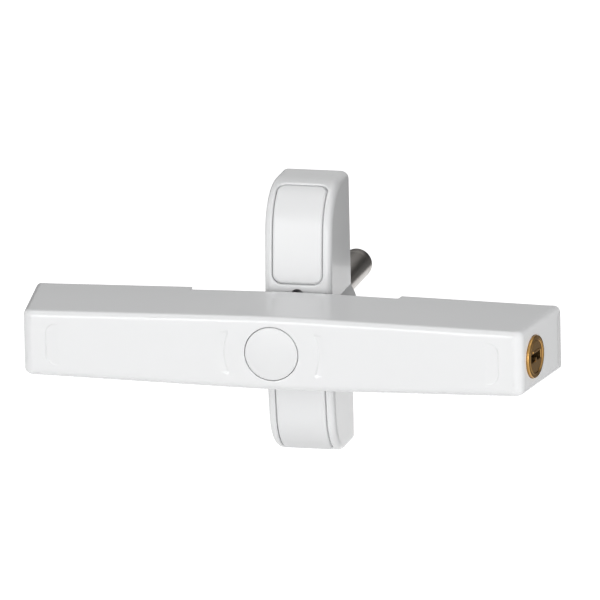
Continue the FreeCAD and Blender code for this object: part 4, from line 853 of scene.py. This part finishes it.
def field_spots(sizes):
    """The points of the front that carry the shape of its sunk fields."""
    reach, half = sizes.field_corner, sizes.field_half
    spots = [Vector((x, z)) for x in range(-124, 125, 4) for z in (-13, -9, -4.5, 0, 4.5, 9, 13)]
    for side in (1, -1):
        near = []
        for depth in (0.02, 0.18, 0.35, 0.52, FIELD_EDGE, 1.1, 1.9, 3.1, 4.5, 6.0, OUTER_RUN_OUT):
            near += [Vector((sizes.field_outer - depth, (half - reach) * k / 6)) for k in range(-6, 7)]
            curve = [p for p, _ in arc((sizes.field_outer - reach, half - reach),
                                       reach - min(depth, reach - 0.3), 0, 90, 9)]
            edge = [Vector((sizes.field_outer - reach - k * 0.7, half - depth)) for k in range(1, 6)]
            for run in (curve, edge):
                near += run + [Vector((p.x, -p.y)) for p in run]
        for depth in (0.02, 0.18, 0.35, 0.52, FIELD_EDGE, 1.2, 2.2, 3.4, INNER_RUN_OUT):
            span = math.degrees(math.asin((half - 0.02) / (sizes.field_inner + depth)))
            near += [p for p, _ in arc((0, 0), sizes.field_inner + depth, -span, span, 18)]
        for depth in (0.0, 0.2, 0.5, 0.8):
            near += [Vector((sizes.field_inner + 0.4 * k - 1.5, z * (half - depth)))
                     for k in range(10) for z in (1, -1)]
        spots += [Vector((side * p.x, p.y)) for p in near]
    return spots


def build_bar_front(form, skin):
    """The front with its sunk fields, and the rounded hole for the cap."""
    sizes = form.sizes
    inset = form.side_count + form.arc_count - 1
    wall_top = [Vector((p.x, form.top(p.x) - sizes.edge_radius)) for p, _ in form.plan[inset:-inset]]
    wall_low = [Vector((p.x, -p.y)) for p in wall_top]
    hole = circle((0, 0), sizes.cap_radius + sizes.cap_gap, 96)
    skin.fill([wall_low + wall_top[::-1], moved(hole, 0.35)],
              lambda p: Vector((p.x, form.sink(p.x, p.y) - sizes.front, p.y)), field_spots(sizes), 0.4)
    skin.strip([[Vector((p.x, back - sizes.front, p.y)) for p in moved(hole, out)]
                for out, back in ((0.35, 0), (0.12, 0.08), (0, 0.32), (0, sizes.wall))])


def build_bar_ends(form, skin, lock):
    """The upright corners and the slanted ends, the right one with a hole for the lock cylinder."""
    sizes = form.sizes
    for side in (1, -1):
        plan = form.plan if side == -1 else form.plan[::-1]
        arcs = plan[form.side_count:form.side_count + form.arc_count]
        tops = [form.top(p.x) - sizes.edge_radius for p, _ in arcs]
        skin.strip([[Vector((p.x, p.y, level * high)) for (p, _), high in zip(arcs, tops)]
                    for level in (1, 0.6, 0.2, -0.2, -0.6, -1)], closed=False)
        ends = plan[:form.side_count + 1]
        start, normal = ends[-1]
        along = (ends[0][0] - start).normalized()

        def on_end(p, inwards=0.0):
            spot = start + along * p.x - normal * inwards
            return Vector((spot.x, spot.y, p.y))

        upper = [Vector(((p - start).dot(along), form.top(p.x) - sizes.edge_radius)) for p, _ in ends]
        lower = [Vector((p.x, -p.y)) for p in upper]
        loops = [lower + upper[::-1]]
        if side == 1:
            mouth = lock_origin(sizes, lock).to_2d()
            hole = circle(((mouth - start).dot(along), 0), lock.radius + 0.1, 72)
            loops.append(moved(hole, 0.45))
            skin.strip([[on_end(p, back) for p in moved(hole, out)]
                        for out, back in ((0.45, 0), (0.15, 0.1), (0, 0.4), (0, sizes.wall))])
        skin.fill(loops, on_end, grid((4, -12), (46, 12), 4.0), 0.5)


def build_bar_back(form, skin):
    """The bevelled rim of the back, which follows the slant of the ends."""
    sizes = form.sizes
    radius = sizes.edge_radius
    far = form.plan[-1][0].x
    lift = form.top(far) - radius
    right = [(Vector((far, lift * k / 6)), Vector((1, 0))) for k in range(6)]
    top = [(Vector((x, form.top(x))), Vector((0, 1)))
           for x in form.back_steps([(far - radius) * (1 - k / 30) for k in range(1, 60)]) if x > 0]
    quarter = right + arc((far - radius, lift), radius, 0, 90, 9) + top
    upper = quarter + [(Vector((0, form.top(0))), Vector((0, 1)))] + mirrored(quarter[::-1], -1, 1)
    perimeter = upper + mirrored(upper[-2:0:-1])
    rings = []
    for inwards, ahead in back_rim(sizes.wall, 12):
        ring = []
        for p, n in perimeter:
            spot = p - n * inwards
            shift = (BACK_BEVEL - ahead) * math.tan(sizes.slant) * n.x
            ring.append(Vector((spot.x + shift, -(form.rear(p.x) + ahead), spot.y)))
        rings.append(ring)
    skin.strip(rings)


def build_bar_cover(sizes, lock):
    """The painted shell of the bar."""
    form = BarForm(sizes)
    skin = Skin()
    build_bar_edges(form, skin)
    build_bar_front(form, skin)
    build_bar_ends(form, skin, lock)
    build_bar_back(form, skin)
    piece = skin.made("bar_shell", finish_named("white_paint"), "bar", "white_paint")
    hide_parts("bar_cover")


def build_pivot_cap(sizes):
    """A flat dome with a rolled edge, and a skirt that snaps into the bar."""
    skin = Skin()
    rim, dome = sizes.cap_radius, sizes.front + sizes.cap_dome
    roll, seat, skirt_end = 0.6, sizes.front - 2.2, sizes.front - 6
    sphere = (rim ** 2 + sizes.cap_dome ** 2) / (2 * sizes.cap_dome)
    profile = [(POLE, dome)]
    for step in range(1, 15):
        radius = (rim - roll) * step / 14
        profile.append((radius, dome - sphere + math.sqrt(sphere ** 2 - radius ** 2)))
    edge = profile[-1][1]
    profile += [(rim - roll + roll * math.sin(math.radians(turn)),
                 edge - roll * (1 - math.cos(math.radians(turn)))) for turn in (20, 40, 60, 78, 90)]
    profile += [(rim, seat), (rim - 0.6, seat), (rim - 0.6, skirt_end), (rim - 1.8, skirt_end),
                (rim - 1.8, seat), (POLE, seat)]
    skin.lathe(profile, ROOMWARD)
    piece = skin.made("pivot_cover_cap", finish_named("white_plastic"), "bar", "white_paint")
    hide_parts("pivot_cap")


# Lock cylinder

BARREL_DEPTH, PLUG_DEPTH, KEYWAY_DEPTH = 28, 26, 22  # from the bar's end
KEYWAY_BEVEL = 0.3


def lock_origin(bar, lock):
    """Where the axis of the lock cylinder leaves the bar's end."""
    return Vector((bar.half_front + lock.depth * math.tan(bar.slant), lock.depth - bar.front, 0))


def build_barrel(lock, axis):
    """The brass cylinder, bevelled at the front, with a fine ring round the plug."""
    face, bore = lock.proud, lock.plug_radius
    skin = Skin()
    skin.lathe([(lock.radius, -BARREL_DEPTH), (lock.radius, face - lock.chamfer),
                (lock.radius - 0.1, face - 0.3), (lock.radius - 0.3, face - 0.1),
                (lock.radius - lock.chamfer, face), (bore + 1.3, face), (bore + 1.15, face - 0.12),
                (bore + 0.8, face - 0.12), (bore + 0.65, face), (bore + 0.35, face),
                (bore + 0.08, face - 0.3), (bore + 0.08, -BARREL_DEPTH)], axis, closed=True)
    piece = skin.made("cylinder_housing", finish_named("lock_brass"), "bar", "lock_brass")
    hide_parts("lock_cylinder")


def build_plug(lock, axis):
    """The plug with its keyway, the rib in it and a low ridge above it."""
    face, radius = lock.proud - lock.plug_inset, lock.plug_radius
    wide, high = lock.key_half_width, lock.key_half_height
    rib, rise = lock.rib_half_width, lock.rib_height
    bevel = KEYWAY_BEVEL
    keyway = [Vector(corner) for corner in (
        (-wide, -high), (-rib, -high), (-rib * 0.8, rise - high), (rib * 0.8, rise - high), (rib, -high),
        (wide, -high), (wide, high), (-wide, high))]
    mouth = [p + Vector((math.copysign(bevel, p.x) * (abs(p.x) > wide - 0.1),
                         math.copysign(bevel, p.y) * (abs(p.y) > high - 0.1))) for p in keyway]
    skin = Skin()
    skin.lathe([(radius, -PLUG_DEPTH), (radius, face - 0.45), (radius - 0.12, face - 0.15),
                (radius - 0.45, face)], axis)
    skin.fill([[p for p, _ in circle((0, 0), radius - 0.45, 96)], mouth], on_plane(axis, face),
              [p for p, _ in circle((0, 0), 7.6, 48)])
    skin.strip([map(on_plane(axis, face), mouth), map(on_plane(axis, face - bevel), keyway)])
    # The keyway's walls and floor get shaded_brass, a darkened copy of the brass that paints the shade inside
    # the keyway
    walls = Skin()
    walls.strip([map(on_plane(axis, face - bevel), keyway), map(on_plane(axis, -KEYWAY_DEPTH), keyway)])
    walls.fill([keyway], on_plane(axis, -KEYWAY_DEPTH))
    walls.made("keyway_walls", finish_named("shaded_brass"), "plug", "lock_brass")
    skin.lathe([(radius, -PLUG_DEPTH), (POLE, -PLUG_DEPTH)], axis)
    half, rings = 4.8, []
    for step in range(9):
        turn = math.radians(180 * step / 8)
        level = high + 0.95 + 0.65 * math.cos(turn)
        lift = 0.42 * math.sin(turn)
        rings.append([axis @ Vector((x, level + (0.12 if abs(x) > half - 0.5 else 0),
                                     face - 0.05 + lift * (1 if abs(x) < half - 0.2 else 0)))
                      for x in (-half, -half + 0.3, -half + 0.9, -2, 0, 2, half - 0.9, half - 0.3, half)])
    skin.strip(rings, closed=False)
    piece = skin.made("key_plug", finish_named("lock_brass"), "plug", "lock_brass")
    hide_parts("lock_plug")


def build_lock_cylinder(bar, lock):
    """The cylinder and its plug, in a frame whose Z axis points out of the bar's end."""
    axis = facing((math.cos(bar.slant), -math.sin(bar.slant), 0), lock_origin(bar, lock))
    build_barrel(lock, axis)
    build_plug(lock, axis)


# Through-bolt, screws and buffers

def build_sleeve_nut(sizes):
    """The turned sleeve with bevelled ends, a shallow groove and a hexagon socket."""
    skin = Skin()
    near, far = sizes.sleeve_start, sizes.sleeve_start + sizes.sleeve_length
    bevel, radius, floor = sizes.sleeve_bevel, sizes.sleeve_radius, far - sizes.socket_depth
    skin.lathe([(sizes.rod_radius, floor), (sizes.rod_radius, near + 0.3),
                (sizes.rod_radius + 0.3, near), (radius - bevel, near), (radius - 0.15, near + bevel - 0.15),
                (radius, near + bevel + 0.3), (radius, far - 7.6), (radius - 0.12, far - 7.4),
                (radius - 0.12, far - 6.8), (radius, far - 6.6),
                (radius, far - bevel - 0.3), (radius - 0.15, far - bevel + 0.15), (radius - bevel, far)],
               WINDOWWARD)
    across = sizes.socket_half / math.cos(math.radians(30))
    socket = [p * across for p, _ in circle((0, 0), 1, 6)]
    mouth = [p * 1.08 for p in socket]
    skin.fill([[p for p, _ in circle((0, 0), radius - bevel, 96)], mouth], on_plane(WINDOWWARD, far))
    skin.strip([map(on_plane(WINDOWWARD, level), loop)
                for level, loop in ((far, mouth), (far - 0.4, socket), (floor, socket))])
    skin.fill([socket], on_plane(WINDOWWARD, floor))
    piece = skin.made("sleeve_nut_turned", finish_named("nickel"), "base", "nickel")
    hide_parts("sleeve_nut")


def screw(skin, spot, direction, head_radius, head_height, shank_radius, shank_length, domed=0.0):
    """Adds a screw with a cross recess. The spot is the middle of its head's outer face."""
    axis = facing(direction, spot)
    flat_radius = head_radius * 0.62
    tip_end = -head_height - shank_length
    profile = [(POLE, tip_end), (shank_radius * 0.7, tip_end),
               (shank_radius, tip_end + shank_radius * 0.4), (shank_radius, -head_height),
               (head_radius - 0.1, -head_height), (head_radius, -head_height + 0.1),
               (head_radius, -domed - 0.15), (head_radius - 0.15, -domed),
               (flat_radius + 0.4 * (head_radius - flat_radius), -domed * 0.35), (flat_radius, 0)]
    skin.lathe(profile, axis, 40)
    arm, half = flat_radius * 0.82, head_radius * 0.12
    cross = []
    for k in range(4):
        turn = Matrix.Rotation(math.radians(90 * k), 2)
        cross += [turn @ Vector((arm, -half)), turn @ Vector((arm, half)), turn @ Vector((half, half))]
    deep = head_height * 0.75
    tip = [p * 0.55 for p in cross]
    skin.fill([[p for p, _ in circle((0, 0), flat_radius, 40)], cross], on_plane(axis, 0))
    skin.strip([map(on_plane(axis, 0), cross), map(on_plane(axis, -deep), tip)])
    skin.fill([tip], on_plane(axis, -deep))


def node_solids(name):
    """The boxes in millimetres of a node's separate solids."""
    mesh = frame["nodes"][name].data
    work = bmesh.new()
    work.from_mesh(mesh)
    bmesh.ops.remove_doubles(work, verts=work.verts, dist=1e-6)
    left, boxes = set(work.verts), []
    while left:
        stack, seen = [left.pop()], []
        while stack:
            vertex = stack.pop()
            seen.append(vertex.co * 1000)
            for edge in vertex.link_edges:
                other = edge.other_vert(vertex)
                if other in left:
                    left.remove(other)
                    stack.append(other)
        boxes.append((Vector([min(p[k] for p in seen) for k in range(3)]),
                      Vector([max(p[k] for p in seen) for k in range(3)])))
    work.free()
    return sorted(boxes, key=lambda box: tuple(round(v, 2) for v in box[0]))


def build_screws():
    """Screws with cross recesses in the places of the plain ones."""
    for name, body, head_height, shank in (("housing_screws", "base", 2.2, 1.98),
                                           ("back_plate_screws", "bar", 1.2, 1.58)):
        skin = Skin()
        for low, high in node_solids(name):
            middle = (low + high) / 2
            radius = (high.x - low.x) / 2
            screw(skin, (middle.x, high.y, middle.z), (0, 1, 0), radius, head_height, shank,
                  high.y - low.y - head_height, 0.25)
        piece = skin.made(name[:-1] + "_set", finish_named("fastener_steel"), body, "fastener_steel", 32)
        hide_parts(name)


def build_buffers():
    """Rubber pads with round edges and cross grooves."""
    roll, grooves, groove_depth = 0.7, (-12, -8, -4, 0, 4, 8, 12), 0.6
    for name in ("left_buffer", "right_buffer"):
        (low, high), = node_solids(name)
        middle = (low.x + high.x) / 2
        half = (high.x - low.x) / 2
        outline = rounded_rectangle(half, low.z, high.z, 2.0, 6, 1.5)
        skin = Skin()
        rings = [[Vector((p.x + middle, low.y, p.y)) for p in moved(outline, 0)]]
        for turn in (0, 25, 45, 65, 90):
            back = roll * (1 - math.cos(math.radians(turn)))
            drop = roll * (1 - math.sin(math.radians(turn)))
            rings.append([Vector((p.x + middle, high.y - drop, p.y)) for p in moved(outline, -back)])
        skin.strip(rings)

        def grooved(p):
            across = min(abs(p.x - groove) for groove in grooves)
            edge = min(p.y - low.z, high.z - p.y) - 2.2
            depth = groove_depth * (1 - eased(across / 0.9)) * eased(edge / 0.8)
            return Vector((p.x + middle, high.y - depth, p.y))

        extra = [Vector((x, z)) for x in [-half + 1 + 0.4 * k for k in range(int((2 * half - 2) / 0.4))]
                 for z in [low.z + 1.2 + 0.8 * k for k in range(int((high.z - low.z - 2) / 0.8))]]
        skin.fill([moved(outline, -roll)], grooved, extra)
        skin.fill([moved(outline, 0)], lambda p: Vector((p.x + middle, low.y, p.y)))
        piece = skin.made(name + "_pad", finish_named("black_rubber"), "bar", "black_rubber")
        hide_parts(name)


def dress_frame():
    """Gives every construction node the finish of its material slot."""
    slots = {row["node"]: row["material_slot"] for row in frame["record"]["subparts"]}
    make_finishes(bpy.context.scene.lock_finish)
    for name, node in frame["nodes"].items():
        node.data.materials.clear()
        node.data.materials.append(bpy.data.materials[slots[name]])


# Stage

def seen_directly(tree):
    """1 for what the camera, a mirror or glass sees, and 0 for the light that falls on the lock."""
    path = tree.nodes.new("ShaderNodeLightPath")
    seen = maths(tree, "MAXIMUM", path.outputs["Is Camera Ray"], path.outputs["Is Glossy Ray"])
    return maths(tree, "MAXIMUM", seen, path.outputs["Is Transmission Ray"])


def plain_material(name, shade, seen):
    """A plain stage surface, with how bright the camera and mirrors see it."""
    material = bpy.data.materials.new(name)
    material.use_nodes = True
    tree = material.node_tree
    shader = tree.nodes["Principled BSDF"]
    shader.inputs["Base Color"].default_value = (shade, shade, shade, 1)
    shader.inputs["Roughness"].default_value = 0.9
    shader.inputs["Specular IOR Level"].default_value = 0.0
    shader.inputs["Emission Color"].default_value = (1, 1, 1, 1)
    tree.links.new(maths(tree, "MULTIPLY", seen_directly(tree), seen), shader.inputs["Emission Strength"])
    return material


def stage_plane(name, corners, material):
    mesh = bpy.data.meshes.new(name)
    mesh.from_pydata([Vector(corner) for corner in corners], [], [tuple(range(len(corners)))])
    mesh.materials.append(material)
    plane = bpy.data.objects.new(name, mesh)
    bpy.context.scene.collection.objects.link(plane)
    return plane


def stage_camera(settings, bar):
    data = bpy.data.cameras.new("stage_camera")
    camera = bpy.data.objects.new("stage_camera", data)
    bpy.context.scene.collection.objects.link(camera)
    a, e = settings.azimuth, settings.elevation
    back = Vector((math.sin(a) * math.cos(e), -math.cos(a) * math.cos(e), math.sin(e)))
    turn = (-back).to_track_quat("-Z", "Y") @ Quaternion((0, 0, 1), settings.roll)
    right, up = turn @ ACROSS, turn @ INTO
    middle = settings.pixels / 2
    camera.location = (Vector((0, -bar.front, 0)) + back * settings.distance
                       + right * (middle - settings.cap_x) * settings.pixel
                       - up * (middle - settings.cap_y) * settings.pixel)
    camera.rotation_mode = "QUATERNION"
    camera.rotation_quaternion = turn
    data.sensor_width = 36
    data.lens = data.sensor_width * settings.distance / (settings.pixels * settings.pixel)
    data.clip_start, data.clip_end = 0.1, 100
    bpy.context.scene.camera = camera


def area_lamp(name, place, target, width, power):
    data = bpy.data.lights.new(name, "AREA")
    data.shape = "RECTANGLE"
    data.size, data.size_y, data.energy = width, width, power
    lamp = bpy.data.objects.new(name, data)
    bpy.context.scene.collection.objects.link(lamp)
    lamp.location = place
    lamp.rotation_mode = "QUATERNION"
    lamp.rotation_quaternion = (Vector(target) - Vector(place)).to_track_quat("-Z", "Y")
    return lamp


def stage_world(strength):
    """Even grey light from all round, which the camera and mirrors see as white."""
    world = bpy.data.worlds.new("stage_world")
    world.use_nodes = True
    tree = world.node_tree
    sky = tree.nodes["Background"]
    seen = seen_directly(tree)
    lit = maths(tree, "MULTIPLY", maths(tree, "SUBTRACT", 1.0, seen), strength)
    sky.inputs["Color"].default_value = (1, 1, 1, 1)
    tree.links.new(maths(tree, "ADD", seen, lit), sky.inputs["Strength"])
    bpy.context.scene.world = world


def build_stage(settings, bar):
    """The floor, cards that only mirrors see, the camera and four lamps."""
    stage_camera(settings, bar)
    stage_world(settings.sky)
    floor = [(-12, -12, -0.42), (12, -12, -0.42), (12, 12, -0.42), (-12, 12, -0.42)]
    stage_plane("stage_floor", floor, plain_material("stage_floor_white", 0.8, 0.85))
    for name, seen, corners in (
        ("stage_card_high", 0.6,
         [(-1.6, 1.1, 0.12), (1.6, 1.1, 0.12), (1.6, 0.5, 1.7), (-1.6, 0.5, 1.7)]),
        ("stage_card_side", 0.15,
         [(-0.4, 0.3, -0.06), (0.2, 0.3, -0.06), (0.2, 0.3, 0.02), (-0.4, 0.3, 0.02)]),
        ("stage_card_low", 0.04,
         [(-0.4, 0.3, 0.02), (0.2, 0.3, 0.02), (0.2, 0.3, 0.1), (-0.4, 0.3, 0.1)]),
        ("stage_card_end", 0.25,
         [(0.2, 0.3, -0.4), (1.4, 0.1, -0.4), (1.4, 0.1, 0.12), (0.2, 0.3, 0.12)]),
        ("stage_card_edge", 0.05,
         [(0.15, 0.3, 0.12), (1.4, 0.1, 0.12), (1.4, 0.1, 0.45), (0.15, 0.3, 0.45)]),
    ):
        card = stage_plane(name, corners, plain_material(name, 0.0, seen))
        card.visible_camera = False
        card.visible_diffuse = False
        card.visible_shadow = False
    area_lamp("key_lamp", (-0.45, -2.35, 0.35), (0, -0.05, 0), 1.4, settings.key)
    area_lamp("fill_lamp", (1.35, -1.95, 0.1), (0, -0.05, 0), 1.0, settings.fill)
    small = area_lamp("end_lamp", (0.3, -0.105, 0), (0.14, -0.08, 0), 0.06, settings.end)
    small.visible_camera = False
    small.visible_glossy = False
    area_lamp("top_lamp", (-0.2, -0.1, 2.0), (0, -0.05, 0), 1.5, settings.top)
    bpy.context.scene.view_settings.view_transform = "Standard"


# Operators

class WINDOWLOCK_OT_dress_frame(bpy.types.Operator):
    """Give the construction parts their finishes"""
    bl_idname = "window_lock.dress_frame"
    bl_label = "Finish the inner parts"
    bl_options = {"REGISTER", "UNDO"}

    def execute(self, context):
        dress_frame()
        return {"FINISHED"}


class WINDOWLOCK_OT_base_housing(bpy.types.Operator):
    """Build the painted shell of the base"""
    bl_idname = "window_lock.base_housing"
    bl_label = "Build the base housing"
    bl_options = {"REGISTER", "UNDO"}

    def execute(self, context):
        scene = context.scene
        build_base_housing(in_millimetres(scene.lock_base))
        return {"FINISHED"}


class WINDOWLOCK_OT_screw_covers(bpy.types.Operator):
    """Build the two bowed plates over the base's screws"""
    bl_idname = "window_lock.screw_covers"
    bl_label = "Build the screw covers"
    bl_options = {"REGISTER", "UNDO"}

    def execute(self, context):
        scene = context.scene
        build_screw_covers(in_millimetres(scene.lock_base))
        return {"FINISHED"}


class WINDOWLOCK_OT_bar_cover(bpy.types.Operator):
    """Build the painted shell of the bar"""
    bl_idname = "window_lock.bar_cover"
    bl_label = "Build the bar cover"
    bl_options = {"REGISTER", "UNDO"}

    def execute(self, context):
        scene = context.scene
        build_bar_cover(in_millimetres(scene.lock_bar), in_millimetres(scene.lock_cylinder))
        return {"FINISHED"}


class WINDOWLOCK_OT_pivot_cap(bpy.types.Operator):
    """Build the domed cap over the pivot"""
    bl_idname = "window_lock.pivot_cap"
    bl_label = "Build the pivot cap"
    bl_options = {"REGISTER", "UNDO"}

    def execute(self, context):
        scene = context.scene
        build_pivot_cap(in_millimetres(scene.lock_bar))
        return {"FINISHED"}


class WINDOWLOCK_OT_lock_cylinder(bpy.types.Operator):
    """Build the brass cylinder and its plug with the keyway"""
    bl_idname = "window_lock.lock_cylinder"
    bl_label = "Build the lock cylinder"
    bl_options = {"REGISTER", "UNDO"}

    def execute(self, context):
        scene = context.scene
        build_lock_cylinder(in_millimetres(scene.lock_bar), in_millimetres(scene.lock_cylinder))
        return {"FINISHED"}


class WINDOWLOCK_OT_sleeve_nut(bpy.types.Operator):
    """Build the turned sleeve nut of the through-bolt"""
    bl_idname = "window_lock.sleeve_nut"
    bl_label = "Build the sleeve nut"
    bl_options = {"REGISTER", "UNDO"}

    def execute(self, context):
        scene = context.scene
        build_sleeve_nut(in_millimetres(scene.lock_bolt))
        return {"FINISHED"}


class WINDOWLOCK_OT_screws(bpy.types.Operator):
    """Build the screws with cross recesses"""
    bl_idname = "window_lock.screws"
    bl_label = "Build the screws"
    bl_options = {"REGISTER", "UNDO"}

    def execute(self, context):
        build_screws()
        return {"FINISHED"}


class WINDOWLOCK_OT_buffers(bpy.types.Operator):
    """Build the rubber buffers behind the bar"""
    bl_idname = "window_lock.buffers"
    bl_label = "Build the buffers"
    bl_options = {"REGISTER", "UNDO"}

    def execute(self, context):
        build_buffers()
        return {"FINISHED"}


class WINDOWLOCK_OT_stage(bpy.types.Operator):
    """Build the floor, the lamps and the camera"""
    bl_idname = "window_lock.stage"
    bl_label = "Build the stage"
    bl_options = {"REGISTER", "UNDO"}

    def execute(self, context):
        scene = context.scene
        build_stage(scene.lock_stage, scene.lock_bar)
        return {"FINISHED"}


class WINDOWLOCK_PT_panel(bpy.types.Panel):
    """Lists the lock's pieces"""
    bl_idname = "WINDOWLOCK_PT_panel"
    bl_label = "Window lock"
    bl_space_type = "VIEW_3D"
    bl_region_type = "UI"
    bl_category = "Window lock"

    def draw(self, context):
        column = self.layout.column(align=True)
        for operator in OPERATORS:
            column.operator(operator.bl_idname)


OPERATORS = (
    WINDOWLOCK_OT_dress_frame,
    WINDOWLOCK_OT_base_housing,
    WINDOWLOCK_OT_screw_covers,
    WINDOWLOCK_OT_bar_cover,
    WINDOWLOCK_OT_pivot_cap,
    WINDOWLOCK_OT_lock_cylinder,
    WINDOWLOCK_OT_sleeve_nut,
    WINDOWLOCK_OT_screws,
    WINDOWLOCK_OT_buffers,
    WINDOWLOCK_OT_stage,
)


def register():
    for settings in GROUPS.values():
        bpy.utils.register_class(settings)
    for name, settings in GROUPS.items():
        setattr(bpy.types.Scene, name, PointerProperty(type=settings))
    for operator in OPERATORS:
        bpy.utils.register_class(operator)
    bpy.utils.register_class(WINDOWLOCK_PT_panel)


def unregister():
    bpy.utils.unregister_class(WINDOWLOCK_PT_panel)
    for operator in reversed(OPERATORS):
        bpy.utils.unregister_class(operator)
    for name, settings in GROUPS.items():
        delattr(bpy.types.Scene, name)
        bpy.utils.unregister_class(settings)


def main():
    register()
    for operator in OPERATORS:
        family, name = operator.bl_idname.split(".")
        getattr(getattr(bpy.ops, family), name)()


if __name__ == "__main__":
    main()
